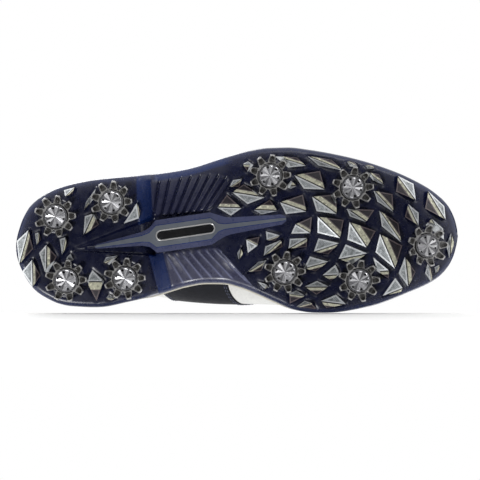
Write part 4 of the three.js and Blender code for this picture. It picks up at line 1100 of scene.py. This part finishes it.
def badge_place(along, across):
    """A place on the badge, along and across the bridge, as u and v on the sheet."""
    (au, av), (bu, bv) = BADGE_LINE
    turn = math.atan2(bv - av, bu - au)
    u = (au + bu) / 2 + BADGE_SHIFT[0] + along * math.cos(turn) - across * math.sin(turn)
    v = (av + bv) / 2 + BADGE_SHIFT[1] + along * math.sin(turn) + across * math.cos(turn)
    return u, v


def plate_section(low, high, crown):
    """Insets and heights of a plate whose lower rim is rounded off by crown."""
    return [(0, high), (0, low + crown), (crown * 0.3, low + crown * 0.3), (crown, low)]


def stadium_solid(name, length, width, section, ends, materials, smooth=False):
    """A piece with round ends along the badge, from its section's insets and heights."""
    rings = []
    for inset, z in section:
        along, across = stadium_loop(length - 2 * inset, width - 2 * inset).T
        rings.append(in_frame(*badge_place(along, across), z))
    faces = ring_faces(len(rings), len(rings[0]), ends=ends)
    return make_object(name, np.concatenate(rings), faces, materials, smooth=smooth)


def make_badge():
    section = plate_section(BRIDGE_FACE + 0.05, BRIDGE_FACE + 1.6, 0.4)
    plate = stadium_solid("badge_face", 37.4, 4.9, section, "capped", [BLACK])
    soften(plate, 0.1)
    finish_piece(plate, ["badge_plate"])
    rim = [(0, 1.6), (0, -0.5), (0.12, -0.66), (0.3, -0.7), (0.6, -0.66), (0.9, -0.45), (1, -0.1), (1, 1.6)]
    section = [(inset, BRIDGE_FACE + z) for inset, z in rim]
    bezel = stadium_solid("badge_rim", 40, 7.5, section, "joined", [BRIGHT], smooth=True)
    finish_piece(bezel, ["badge_bezel"])


# ------------------------------------------------------------ midsole, welt and boards

FIBRE_NODES = {"insole_board": BOARD, "shank_plate": STEEL, "heel_counter": FIBRE, "toe_puff": FIBRE}


def paint_hidden_nodes():
    """The parts inside the sole keep their CAD shape, with round edges and a fitting material."""
    receptacles = {f"{station}_receptacle": SMOKY for station in CLEAT_STATIONS}
    for name, material in {**FIBRE_NODES, **receptacles}.items():
        node = nodes[name]
        for slot in node.material_slots:
            slot.material = material
        soften(node, 0.2, 2, 40)


# Up the midsole's side: share of its height, and how far it stands out past the outline.
MIDSOLE_SECTION = [
    (0, -0.2), (0.03, 0.5), (0.1, 0.8), (0.45, 0.8), (0.48, 0.45), (0.52, 0.45), (0.55, 0.8), (0.92, 0.8),
    (0.98, 0.5), (1, -0.1),
]


def make_midsole():
    """A foam band with a groove, whose sides show only at the arch, and flat faces of quads across it."""
    loop = outline_loop(1.6)
    u = loop[:, 0]
    low = tread_height(u) + OUTSOLE_THICKNESS + FIT_GAP
    high = sole_top(u)
    shown = (loop[:, 1] < 0) * smoothstep(84, 98, u) * (1 - smoothstep(176, 200, u))
    rings = []
    for share, out in MIDSOLE_SECTION:
        ring = grow_loop(loop, (out + FIT_GAP) * shown - FIT_GAP)
        rings.append(in_frame(ring[:, 0], ring[:, 1], low + (high - low) * share))
    count = len(loop)
    faces = ring_faces(len(rings), count)
    for start in (0, (len(rings) - 1) * count):
        for i in range(count // 2 - 1):
            faces.append([start + i, start + i + 1, start + count - 2 - i, start + count - 1 - i])
    obj = make_object("midsole_fine", np.concatenate(rings), faces, [EVA], smooth=True)
    obj.data.set_sharp_from_angle(angle=math.radians(45))
    finish_piece(obj, ["midsole"])


make_outsole()
make_lugs("forefoot_lugs", FOREFOOT_LUGS, "forefoot_lug_plate")
make_lugs("heel_lugs", HEEL_LUGS, "heel_lug_plate")
make_cleats()
make_bridge()
make_badge()
make_midsole()
paint_hidden_nodes()

# ------------------------------------------------------------ the last, which shapes the upper

HEEL_END, TOE_END = 11.0, 299.5
LEATHER = 2.0
# How far inside the last's skin the outer face of each inner layer lies, and how thick the layer is.
COLLAR_DEPTH, COLLAR_THICKNESS = 2.9, 4.8
LINING_DEPTH, LINING_THICKNESS = 4.9, 1.0
TONGUE_DEPTH, TONGUE_THICKNESS = 5.9, 3.7
FOOTBED_DEPTH = 8.9
last_outer = curve_through([
    [11, 2.5], [12, 11], [14, 17.5], [17, 22], [22, 26.5], [35, 32], [60, 34.5], [90, 35.5], [110, 37.5],
    [130, 41.5], [150, 46.5], [175, 51.5], [195, 52], [215, 49.5], [235, 44.5], [255, 37.5], [270, 31],
    [283, 23.5], [292, 15], [297, 7], [299.5, -2],
])
last_inner = curve_through([
    [11, -4], [12, -12], [14, -19], [17, -23.5], [22, -28], [35, -33], [60, -35.5], [90, -37], [105, -40.5],
    [125, -43.5], [140, -45], [155, -46], [170, -47], [190, -48.5], [215, -49], [235, -46.5], [255, -41.5],
    [270, -36.5], [283, -30.5], [292, -24], [297, -17.5], [299.5, -10],
])
last_tuck = curve_through([
    [11, 0.5], [60, 2], [85, 3], [95, 5], [105, 10], [115, 14], [125, 16.5], [140, 18], [155, 15.5],
    [165, 9.5], [175, 5], [190, 2.5], [299, 1],
])
last_ridge = curve_through([[11, -1], [100, -1], [150, -2], [200, -4], [250, -6], [299.5, -6]])
last_top = curve_through([
    [11, 58], [12, 72], [14, 88], [17, 104], [22, 124], [35, 142], [60, 148], [85, 144], [100, 133],
    [110, 123.5], [120, 115], [140, 101.5], [155, 92.5], [170, 84.5], [185, 77.5], [200, 72], [220, 66.5],
    [240, 63], [260, 60], [275, 56.5], [285, 52], [292, 47], [297, 41], [299.5, 36],
])
last_lift = curve_through([[11, 16], [12, 8.5], [14, 3], [17, 0.6], [20, 0], [295, 0], [299.5, 1.5]])
last_waist = curve_through([
    [11, 6], [17, 16], [35, 22], [100, 24], [150, 20], [200, 15], [260, 13], [290, 9], [299.5, 4],
])
last_fullness = curve_through([[11, 1], [100, 1], [150, 0.9], [220, 0.78], [299.5, 0.78]])


def last_sides(u, side, depth=0.0):
    """Widest place and foot of one side of the last's section; side is 1 outside and -1 inside."""
    ridge = last_ridge(u)
    outer = np.maximum(last_outer(u) - depth, ridge + 1)
    inner = np.minimum(last_inner(u) + depth, ridge - 1)
    inner_base = np.minimum(last_inner(u) + last_tuck(u) + depth, ridge - 0.8)
    wide = np.where(side > 0, outer, inner)
    base = np.where(side > 0, np.maximum(outer - 1, ridge + 0.8), inner_base)
    return wide, base


def last_heights(u, depth=0.0):
    bottom = sole_top(u) + FIT_GAP + last_lift(u)
    return bottom, bottom + last_waist(u), last_top(u) - 1.15 * depth


def placed_u(u, depth):
    middle = (HEEL_END + TOE_END) / 2
    return middle + (u - middle) * (1 - depth / (TOE_END - middle))


def last_place(u, climb, side, depth=0.0):
    """A place on the last's skin. Climb runs from 0 at the foot by 1 at the widest line to 2 at the ridge."""
    wide, base = last_sides(u, side, depth)
    bottom, waist, top = last_heights(u, depth)
    ridge, fullness = last_ridge(u), last_fullness(u)
    low = np.clip(climb, 0, 1)
    turn = np.clip(climb - 1, 0, 1) * np.pi / 2
    share = np.maximum(np.cos(turn), 0) ** fullness
    below = climb < 1
    v = np.where(below, base + (wide - base) * np.sin(low * np.pi / 2), ridge + (wide - ridge) * share)
    z = np.where(below, bottom + (waist - bottom) * low, waist + (top - waist) * np.sin(turn) ** fullness)
    return placed_u(u, depth), v, z


def climb_at_height(u, z):
    bottom, waist, top = last_heights(u)
    high = np.clip((z - waist) / (top - waist), 0, 1) ** (1 / last_fullness(u))
    low = np.clip((z - bottom) / (waist - bottom), 0, 1)
    return np.where(z < waist, low, 1 + np.arcsin(high) / (np.pi / 2))


def climb_beside_ridge(u, half, side, depth=0.0):
    wide, _ = last_sides(u, side, depth)
    share = np.clip(half / np.abs(wide - last_ridge(u)), 0, 1) ** (1 / last_fullness(u))
    return 1 + np.arccos(share) / (np.pi / 2)


def seam_curve(points):
    """A seam seen from the side, as u for each height z."""
    return curve_through([[z, u] for u, z in points])


back_seam = seam_curve([[25, 5], [22, 40], [22, 60], [29, 76], [33, 120], [33, 220]])
saddle_rear = seam_curve([[101, 5], [102, 28], [108, 46], [111, 64], [107, 84], [99, 112], [90, 220]])
saddle_front = seam_curve([
    [143, 5], [145, 24], [154, 38], [169, 52], [187, 64], [197, 76], [200, 95], [200, 220],
])
topline = curve_through([
    [-20, 101], [13, 101], [22, 98.5], [40, 88], [58, 83.5], [76, 86], [92, 96], [103, 106.5],
    [111, 112], [118, 220],
])
throat_half = curve_through([[90, 15], [104, 14], [120, 11.5], [150, 9], [186, 6.5], [194, 2.5]])
EYELET_ROWS = [118, 135, 152, 169, 185]
SEAM_GAP = 0.25  # half the gap between two pieces of leather at a seam
SIDES = ((1, "outer"), (-1, "inner"))


def graded(count, length):
    """Shares from 0 to 1 with extra lines close to both ends of a stretch of that length."""
    edge = np.array([0, 0.2, 0.5, 0.9, 1.5]) / length
    middle = np.linspace(2.4 / length, 1 - 2.4 / length, count)
    return np.concatenate([edge, middle, 1 - edge[::-1]])


def grid_normals(points, us):
    """Outward unit normals of a grid of points round the last."""
    normals = unit(np.cross(np.gradient(points, axis=0), np.gradient(points, axis=1)))
    _, waist, _ = last_heights(us)
    heart = space(np.clip(us, 45, 270), last_ridge(us), waist)
    return -normals if np.sum(normals * (points - heart)) < 0 else normals


def hide_of(name, points, normals, edge, material, thickness=LEATHER, proud=0.0):
    """A closed piece of leather under a grid of points, with edges rolled in where edge is near 0."""
    roll = 0.75 * np.maximum(0, 1 - edge / 1.3) ** 2
    face = points + normals * ((proud - roll) * MM)[..., None]
    back = points - normals * ((thickness - 0.3 * roll) * MM)[..., None]
    both = np.concatenate([face.reshape(-1, 3), back.reshape(-1, 3)])
    return make_object(name, both, shell_faces(*points.shape[:2]), [material], smooth=True)


def edge_distance(length, width, along, across, far_end=True):
    """Distance in millimetres from a grid's rolled borders; the far end counts as far if it isn't rolled."""
    ahead = (1 - along) * length if far_end else np.full(along.shape, 99.0)
    first = np.minimum(along * length, ahead)
    second = np.minimum(across, 1 - across) * width
    return np.minimum(first[:, None], second[None, :])


def space(u, v, z):
    return in_frame(u, v, z).reshape(np.shape(u) + (3,))


def wall_place(u, z, side):
    """v on the last's side wall at a place u and height z."""
    return last_place(u, climb_at_height(u, z), side)[1]


HEEL_US = np.linspace(HEEL_END, 60, 1200)


def back_of_heel(z):
    """The rearmost u of the last's skin at a height."""
    bottom, _, top = last_heights(HEEL_US)
    over = np.interp(z, top, HEEL_US)
    under = np.interp(z, bottom[::-1], HEEL_US[::-1])
    return np.maximum(over, under)


def heel_grid(front, reach, rise, low_at, high_at):
    """Places round the heel between a front line on the inner side and the same on the outer side."""
    u = np.full((len(reach), len(rise)), 25.0)
    for _ in range(40):
        low, high = low_at(u), high_at(u)
        z = low + (high - low) * rise[None, :]
        rear = back_of_heel(z)
        u = u + 0.6 * (rear + (front(z) - rear) * reach[:, None] ** 2 - u)
    side = np.where(reach[:, None] < 0, -1, 1) * np.ones_like(u)
    return u, wall_place(u, z, side), z


def collar_edge(u, side):
    """How far the quarters and saddles climb: to the topline, or beside the throat."""
    climb = climb_at_height(u, topline(u))
    beside = climb_beside_ridge(u, throat_half(u), side)
    return np.where(u < 116, np.minimum(climb, np.where(u > 88, beside, 2)), np.where(u < 194, beside, 2.0))


def side_grid(rear, front, side, along, rise, limit):
    """Grid of points on one side between two seams, up to a limit of climb, and its places along the sole."""
    blend = along[:, None]
    u = (rear(60.0) * (1 - blend) + front(60.0) * blend) * np.ones((1, len(rise)))
    for _ in range(120):
        climb = rise[None, :] * limit(u, side)
        z = last_place(u, climb, side)[2]
        u = u + 0.35 * (rear(z) * (1 - blend) + front(z) * blend - u)
    return space(*last_place(u, climb, side)), u


def stitches(name, lines, material, pitch=3.0, length=2.1, radius=0.36):
    """Rows of thread stitches. Each line is (points, normals) in metres."""
    points, faces, sides = [], [], 6
    rings = [(-0.5, 0.25), (-0.36, 0.9), (0, 1.0), (0.36, 0.9), (0.5, 0.25)]  # shares of length and radius
    for path, normals in lines:
        run = np.concatenate([[0], np.cumsum(np.linalg.norm(np.diff(path, axis=0), axis=1))])

        def sample(rows, place):
            return np.array([np.interp(place, run, column) for column in rows.T])

        for place in np.arange(pitch * 0.5 * MM, run[-1], pitch * MM):
            centre, out = sample(path, place), sample(normals, place)
            along = unit(sample(path, place + 0.5 * MM) - sample(path, place - 0.5 * MM))
            across = unit(np.cross(out, along))
            up = np.cross(along, across)
            faces += ring_faces(len(rings), sides, len(points), "capped")
            for shift, share in rings:
                for t in full_turn(sides):
                    spread = across * math.cos(t) + up * math.sin(t)
                    points.append(centre + (along * shift * length + spread * share * radius) * MM)
    finish_piece(make_object(name, np.array(points), faces, [material], smooth=True))


def sweep(name, path, upward, section, material, replaced=()):
    """A closed bar along a line of points. Its section's places are across the line and up from it."""
    along = unit(np.gradient(path, axis=0))
    across = unit(np.cross(along, upward))
    over = np.cross(across, along)
    spread = across[:, None, :] * section[:, 0, None] + over[:, None, :] * section[:, 1, None]
    points = (path[:, None, :] + spread * MM).reshape(-1, 3)
    faces = ring_faces(len(path), len(section), ends="capped")
    finish_piece(make_object(name, points, faces, [material], smooth=True), replaced)


def round_section(sides, wide, thick, power=1.0):
    """Places round a section of that width and thickness, fuller than an ellipse if power is below 1."""
    turn = full_turn(sides)
    return np.stack([swell(np.cos(turn), power) * wide / 2, swell(np.sin(turn), power) * thick / 2], 1)


def line_along(points, normals, shares, share, lift, axis=0):
    """The grid line at a share of the way across, raised by lift millimetres."""
    if axis == 1:
        points, normals = points.transpose(1, 0, 2), normals.transpose(1, 0, 2)
    place = np.interp(share, shares, np.arange(len(shares)))
    low = int(place)
    t = place - low
    high = min(low + 1, len(shares) - 1)
    path = points[low] * (1 - t) + points[high] * t
    normal = normals[low] * (1 - t) + normals[high] * t
    return path + normal * lift * MM, normal


SADDLE_PROUD = 0.7  # how far the saddle's face stands over its neighbours
SADDLE_LAP = 1.6  # how far the saddle laps over its neighbours


EYELET_FROM_THROAT = 7
EYELET_BORE = 2.3


def eyelet_place(u, side):
    """Where an eyelet sits on the facing, and which way is outward."""
    half = throat_half(u) + EYELET_FROM_THROAT

    def skin(at_u, at_half):
        climb = climb_beside_ridge(at_u, at_half, side)
        return Vector(space(*last_place(np.array(at_u), climb, side)).tolist())

    place = skin(u, half)
    along, across = skin(u + 1, half) - place, skin(u, half + 1) - place
    out = along.cross(across).normalized()
    return place, out if out.z > 0 else -out


def eyelet_matrices():
    """For each eyelet, its place with z outward."""
    places = [eyelet_place(u, side) for u in EYELET_ROWS for side in (-1, 1)]
    return [Matrix.Translation(place) @ turned_outward(out) for place, out in places]


def turned_outward(out):
    return out.to_track_quat("Z", "Y").to_matrix().to_4x4()


def make_eyelets():
    section = [
        (2.15, -1.6), (2.15, 0.55), (2.4, 0.95), (2.9, 1.15), (3.45, 1.05), (3.7, 0.75), (3.7, 0.3),
        (2.6, -1.6),
    ]
    sides = 28
    ring_points, _ = lathe(section, sides, "joined")
    points, faces = [], []
    for matrix in eyelet_matrices():
        faces += ring_faces(len(section), sides, len(points), "joined")
        points += [list(matrix @ (Vector(p) * MM)) for p in ring_points]
    finish_piece(make_object("eyelet_rings", points, faces, [BRIGHT], smooth=True))


def seam_line(seam, shift):
    """The seam moved along the sole."""
    return lambda z: seam(z) + shift


def upper_foot(u):
    """Height of the leather's lowest edge."""
    return sole_top(u) + FIT_GAP + 0.05


def make_backstay_and_quarters():
    reach = np.concatenate([-graded(26, 40)[::-1], graded(26, 40)[1:]])
    around, rise = reach / 2 + 0.5, graded(34, 70)
    u, v, z = heel_grid(seam_line(back_seam, -SEAM_GAP), reach, rise, upper_foot, topline)
    points = space(u, v, z)
    normals = grid_normals(points, u)
    edge = edge_distance(80, 70, around, rise)
    obj = hide_of("backstay_leather", points, normals, edge, WHITE)
    finish_piece(obj, ["backstay"])
    lines = [line_along(points, normals, around, share, 0.1) for share in (0.03, 0.055, 0.945, 0.97)]
    for side, word in SIDES:
        along = graded(56, 82)
        rear, front = seam_line(back_seam, SEAM_GAP), seam_line(saddle_rear, -SEAM_GAP)
        points, u = side_grid(rear, front, side, along, rise, collar_edge)
        normals = grid_normals(points, u)
        edge = edge_distance(82, 60, along, rise)
        obj = hide_of(f"{word}_quarter_leather", points, normals, edge, WHITE)
        finish_piece(obj, [f"{word}_quarter"])
        lines += [line_along(points, normals, rise, share, 0.1, axis=1) for share in (0.955, 0.925)]
    stitches("heel_and_collar_stitches", lines, THREAD)


def make_saddles():
    lines = []
    rear, front = seam_line(saddle_rear, -SADDLE_LAP), seam_line(saddle_front, SADDLE_LAP)
    along, rise = graded(60, 62), graded(64, 105)
    lift = SADDLE_PROUD + 0.05
    for side, word in SIDES:
        points, u = side_grid(rear, front, side, along, rise, collar_edge)
        normals = grid_normals(points, u)
        edge = edge_distance(62, 105, along, rise)
        obj = hide_of(f"{word}_saddle_leather", points, normals, edge, NIGHT, proud=SADDLE_PROUD)
        cut(obj, make_bars("eyelet_cutter", eyelet_matrices(), EYELET_BORE, -4, 4, 20))
        finish_piece(obj, [f"{word}_saddle"])
        lines += [line_along(points, normals, along, share, lift) for share in (0.032, 0.062, 0.938, 0.968)]
        lines += [line_along(points, normals, rise, share, lift, axis=1) for share in (0.972, 0.82)]
    stitches("saddle_stitches", lines, DARK_THREAD)


TOE_CAP_SHARE = 0.62  # of the vamp's length, where the toe cap's stitching lies


def toe_end(z):
    return np.full(np.shape(z), TOE_END)


def to_the_ridge(u, side):
    return np.full(np.shape(u), 2.0)


def make_vamp():
    """The front of the upper, from both sides' grids joined at the ridge and closed at the tip."""
    along = 1 - (1 - graded(84, 150)) ** 1.6
    rise = np.concatenate([graded(44, 70)[:-5], [0.985, 1.0]])
    rear = seam_line(saddle_front, SEAM_GAP)
    halves = [side_grid(rear, toe_end, side, along, rise, to_the_ridge) for side in (-1, 1)]
    points, us = (np.concatenate([a, b[:, ::-1][:, 1:]], 1) for a, b in zip(*halves))
    last_ring, forward = points[-1], np.array([MM, 0, 0])
    centre = (last_ring.min(0) + last_ring.max(0)) / 2
    centre[2] = last_ring[:, 2].min()
    shrinking = (0.8, 0.55, 0.3, 0.02)
    tips = [centre + (last_ring - centre) * share + forward * (1 - share**2) for share in shrinking]
    points, us = np.concatenate([points, tips]), np.concatenate([us, us[-1:].repeat(len(tips), 0)])
    along = np.concatenate([along * 0.99, 0.99 + np.array([0.003, 0.006, 0.008, 0.01])])
    normals = grid_normals(points, us)
    normals[-5:] = forward / MM
    across = np.concatenate([rise / 2, 1 - rise[::-1][1:] / 2])
    edge = edge_distance(110, 150, along, across, far_end=False)
    obj = hide_of("vamp_leather", points, normals, edge, WHITE)
    finish_piece(obj, ["vamp"])
    row = int(np.argmin(np.abs(along - TOE_CAP_SHARE)))
    lines = [(points[k, 8:-8] + normals[k, 8:-8] * 0.1 * MM, normals[k, 8:-8]) for k in (row, row + 2)]
    stitches("toe_cap_stitches", lines, THREAD)


WELT_OPENING = (94, 168)  # along the inner side of the arch


def make_welt():
    """The strip that shows between the upper and the sole's edge, open at the inner side of the arch."""
    loop = outline_loop(1.6)
    us = sole_stations(1.6)
    us = HEEL_END + (us - us[0]) * (TOE_END - HEEL_END) / (us[-1] - us[0])
    outer_foot, inner_foot = (np.stack([us, last_sides(us, side)[1]], 1) for side in (1, -1))
    foot = grow_loop(np.concatenate([outer_foot, inner_foot[::-1]]), 0.2)
    half = len(loop) // 2
    opening = [i for i in range(half, 2 * half) if WELT_OPENING[0] < loop[i][0] < WELT_OPENING[1]]
    order = list(range(opening[-1] + 1, 2 * half)) + list(range(opening[0]))
    outer_edge, inner_edge = grow_loop(loop, -0.6)[order], foot[order]
    profile = [(0, 0.0), (0, 1.7), (0.12, 2.1), (0.3, 2.3), (0.75, 2.3), (0.9, 2.1), (1, 1.9), (1, 0)]

    def line_at(share, rise):
        place = outer_edge * (1 - share) + inner_edge * share
        return in_frame(place[:, 0], place[:, 1], sole_top(place[:, 0]) + FIT_GAP + rise)

    grid = np.stack([line_at(share, rise) for share, rise in profile], 1)
    faces = ring_faces(*grid.shape[:2], ends="capped")
    obj = make_object("welt_strip", grid.reshape(-1, 3), faces, [WELT], smooth=True)
    obj.data.set_sharp_from_angle(angle=math.radians(50))
    finish_piece(obj, ["welt"])
    path = line_at(0.38, 2.4)
    upward = np.tile([0.0, 0.0, 1.0], (len(path), 1))
    stitches("welt_stitches", [(path, upward)], THREAD, 4.2, 3.1, 0.5)


make_backstay_and_quarters()
make_saddles()
make_vamp()
make_welt()
make_eyelets()


# ------------------------------------------------------------ inside of the shoe


def make_lining():
    """Textile inside the vamp and quarters, below the collar padding and beside the throat."""
    stations = np.concatenate([np.linspace(14, 30, 12), np.linspace(33, 280, 90), np.linspace(283, 298, 14)])
    rise = np.linspace(0.04, 1, 36)
    collar = climb_at_height(stations, np.interp(stations, [60, 97], [62.3, 71]))
    for side, word in SIDES[::-1]:
        facing = climb_beside_ridge(stations, throat_half(stations) + 15, side)
        limit = np.where(stations < 97, collar, np.where(stations < 197, facing, 2.0))
        climb = limit[:, None] * rise[None, :]
        u = stations[:, None] * np.ones_like(climb)
        points = space(*last_place(u, climb, side, LINING_DEPTH))
        normals, unrolled = grid_normals(points, u), np.full(u.shape, 9.0)
        obj = hide_of(f"{word}_lining_cloth", points, normals, unrolled, TEXTILE, LINING_THICKNESS)
        finish_piece(obj, ["lining"])


def crowned_pad(name, points, normals, thickness, crown):
    """A closed pad on a grid of outer places: full in the middle and pulled in at its edges."""
    rows, columns = points.shape[:2]
    a = np.abs(np.linspace(-1, 1, rows))[:, None]
    b = np.abs(np.linspace(-1, 1, columns))[None, :]
    full = (1 - a**crown[0]) ** 0.5 * (1 - b**crown[1]) ** 0.5
    middle = points - normals * (thickness / 2 * MM)
    swelling = normals * (thickness / 2 * MM * full)[..., None]
    inner = [i * columns + j for i in range(1, rows - 1) for j in range(1, columns - 1)]
    index = {flat: rows * columns + k for k, flat in enumerate(inner)}
    both = np.concatenate([(middle + swelling).reshape(-1, 3), (middle - swelling).reshape(-1, 3)[inner]])
    faces = grid_faces(rows, columns)
    faces += [[index.get(c, c) for c in quad[::-1]] for quad in faces]
    return make_object(name, both, faces, [])


def mesh_places(obj):
    places = np.empty(len(obj.data.vertices) * 3, np.float32)
    obj.data.vertices.foreach_get("co", places)
    return places.reshape(-1, 3)


def inflate(obj, voxel, pressure, cap, frames=20):
    """Cloth simulation of a filled pad; no point moves further than cap, in millimetres."""
    remesh = obj.modifiers.new("remesh", "REMESH")
    remesh.mode, remesh.voxel_size = "VOXEL", voxel * MM
    settle(obj)
    before = mesh_places(obj)
    cloth = obj.modifiers.new("cloth", "CLOTH")
    cloth.settings.use_pressure = True
    cloth.settings.uniform_pressure_force = pressure
    cloth.settings.effector_weights.gravity = 0
    cloth.settings.quality = 5
    scene = bpy.context.scene
    scene.frame_start, scene.frame_end = 1, frames
    for number in range(1, frames + 1):
        scene.frame_set(number)
    settle(obj)
    scene.frame_set(1)
    move = mesh_places(obj) - before
    length = np.linalg.norm(move, axis=1)[:, None]
    move *= np.minimum(1, cap * MM / np.maximum(length, 1e-9))
    obj.data.vertices.foreach_set("co", (before + move).ravel())
    obj.data.update()


def smooth_pad(obj, material):
    """One subdivision, smooth shading and a material."""
    obj.data.materials.clear()
    obj.data.materials.append(material)
    modifier = obj.modifiers.new("finer", "SUBSURF")
    modifier.levels = modifier.render_levels = 1
    settle(obj)
    obj.data.polygons.foreach_set("use_smooth", [True] * len(obj.data.polygons))


def collar_front(z):
    return np.full(np.shape(z), 94.0)


def collar_low(u):
    return np.interp(u, [60, 96], [64.0, 72.5])


def make_collar():
    """The padded collar: foam under textile, all round the foot opening behind the saddle."""
    reach = np.concatenate([-np.linspace(1, 0, 60), np.linspace(0, 1, 60)[1:]])
    rise = np.linspace(0, 1, 26)
    u, v, z = heel_grid(collar_front, reach, rise, collar_low, seam_line(topline, -0.7))
    points = space(u, v, z)
    normals = grid_normals(points, u)
    outer = points - normals * (COLLAR_DEPTH * MM)
    pad = crowned_pad("collar_pad", outer, normals, COLLAR_THICKNESS, (30, 9))
    inflate(pad, voxel=2.0, pressure=4.0, cap=0.9)
    smooth_pad(pad, COLLAR)
    finish_piece(pad, ["collar_padding"])
    rim = points[:, -1] - normals[:, -1] * (1.6 * MM) + np.array([0, 0, 0.9 * MM])
    upward = np.tile([0.0, 0.0, 1.0], (len(rim), 1))
    sweep("collar_binding", rim, upward, round_section(12, 3, 3), WHITE)


def make_tongue():
    """The padded tongue under the throat, whose rounded end stands above the collar."""
    across = np.linspace(-1, 1, 41)
    along = np.linspace(0, 1, 70)
    u = np.full((len(along), len(across)), 120.0)
    side = np.where(across[None, :] > 0, 1, -1) * np.ones_like(u)
    for _ in range(60):
        beside = np.abs(across)[None, :] * np.interp(u, [100, 120, 190], [22.5, 21.5, 20.0])
        climb = climb_beside_ridge(u, np.maximum(beside, 0.02), side, TONGUE_DEPTH)
        z = last_place(u, climb, side, TONGUE_DEPTH)[2]
        rear = 95.2 + (z - 112) * 0.643 + 3.0 * np.abs(across)[None, :] ** 6
        u = u + 0.5 * (rear + (191.5 - rear) * along[:, None] - u)
    points = space(*last_place(u, climb, side, TONGUE_DEPTH))
    normals = grid_normals(points, u)
    pad = crowned_pad("tongue_pad", points, normals, TONGUE_THICKNESS, (24, 10))
    smooth_pad(pad, WHITE)
    finish_piece(pad, ["tongue"])
    shares = np.linspace(0, 1, len(across))
    rows = [line_along(points, normals, shares, share, 0.0, axis=1) for share in (0.1, 0.9)]
    lines = [(path[2:-4], normal[2:-4]) for path, normal in rows]
    stitches("tongue_stitches", lines, THREAD)


def make_sockliner():
    """A crowned footbed with raised edges, on the insole board."""
    heel, toe = 20 + 12 * np.linspace(0, 1, 12) ** 2, 292 - 15 * np.linspace(1, 0, 12) ** 2
    stations = np.concatenate([heel, np.linspace(35, 275, 80), toe])
    across = np.linspace(-1, 1, 41)
    outer, inner = (last_sides(stations, side, FOOTBED_DEPTH)[1] for side in (1, -1))
    middle, half = (outer + inner) / 2, (outer - inner) / 2
    v = middle[:, None] + half[:, None] * across[None, :]
    u = placed_u(stations, FOOTBED_DEPTH)[:, None] * np.ones_like(v)
    base = sole_top(u) + 4.6
    rise = 3.6 + 1.6 * np.abs(across[None, :]) ** 5 - 0.5 * (1 - across[None, :] ** 2)
    arch = 1.4 * smoothstep(80, 120, u) * (1 - smoothstep(140, 175, u)) * np.clip(-across[None, :], 0, 1)
    points = np.concatenate([in_frame(u, v, base + rise + arch), in_frame(u, v, base + 0.05)])
    obj = make_object("footbed", points, shell_faces(*v.shape), [FOOTBED], smooth=True)
    obj.data.set_sharp_from_angle(angle=math.radians(50))
    finish_piece(obj, ["sockliner"])


# ------------------------------------------------------------ lace

LACE_WIDTH, LACE_THICKNESS = 4.4, 1.1


def lace_route():
    """Across the tongue at each eyelet row and on to the next row inside; both ends are tucked in."""
    places, ups = [], []
    for row, u in enumerate(reversed(EYELET_ROWS)):
        start = 1 if row % 2 == 0 else -1
        (near, near_out), (far, far_out) = eyelet_place(u, start), eyelet_place(u, -start)
        ridge_z = float(last_place(np.array(float(u)), np.array(2.0), 1)[2])
        ridge = at(u, float(last_ridge(u)), ridge_z + 2.6)
        over = (near_out + far_out).normalized()
        inward = (far - near).normalized() * 2 * MM
        for place, up in (
            (near - near_out * 4 * MM, near_out - inward / MM),
            (near + near_out * 1.4 * MM, near_out - inward / MM),
            (near + near_out * 2.3 * MM + inward, near_out),
            (ridge, over),
            (far + far_out * 2.3 * MM - inward, far_out),
            (far + far_out * 1.4 * MM, far_out + inward / MM),
            (far - far_out * 4 * MM, far_out + inward / MM),
        ):
            places.append(list(place))
            ups.append(list(up.normalized()))
    return np.array(places), np.array(ups)


def catmull(values, steps):
    """A smooth line through rows of values."""
    before, after = np.vstack([values[:1], values[:-1]]), np.vstack([values[1:], values[-1:]])
    beyond = np.vstack([after[1:], after[-1:]])
    t = np.linspace(0, 1, steps, endpoint=False)[None, :, None]
    a, b, c, d = (x[:-1, None, :] for x in (before, values, after, beyond))
    line = b + 0.5 * t * (c - a + t * (2 * a - 5 * b + 4 * c - d + t * (3 * (b - c) + d - a)))
    return np.vstack([line.reshape(-1, values.shape[1]), values[-1:]])


def make_lace():
    places, ups = lace_route()
    section = round_section(16, LACE_WIDTH, LACE_THICKNESS, 0.8)
    sweep("lace_ribbon", catmull(places, 9), catmull(ups, 9), section, LACE, ["lace"])


make_lining()
make_collar()
make_tongue()
make_sockliner()
make_lace()
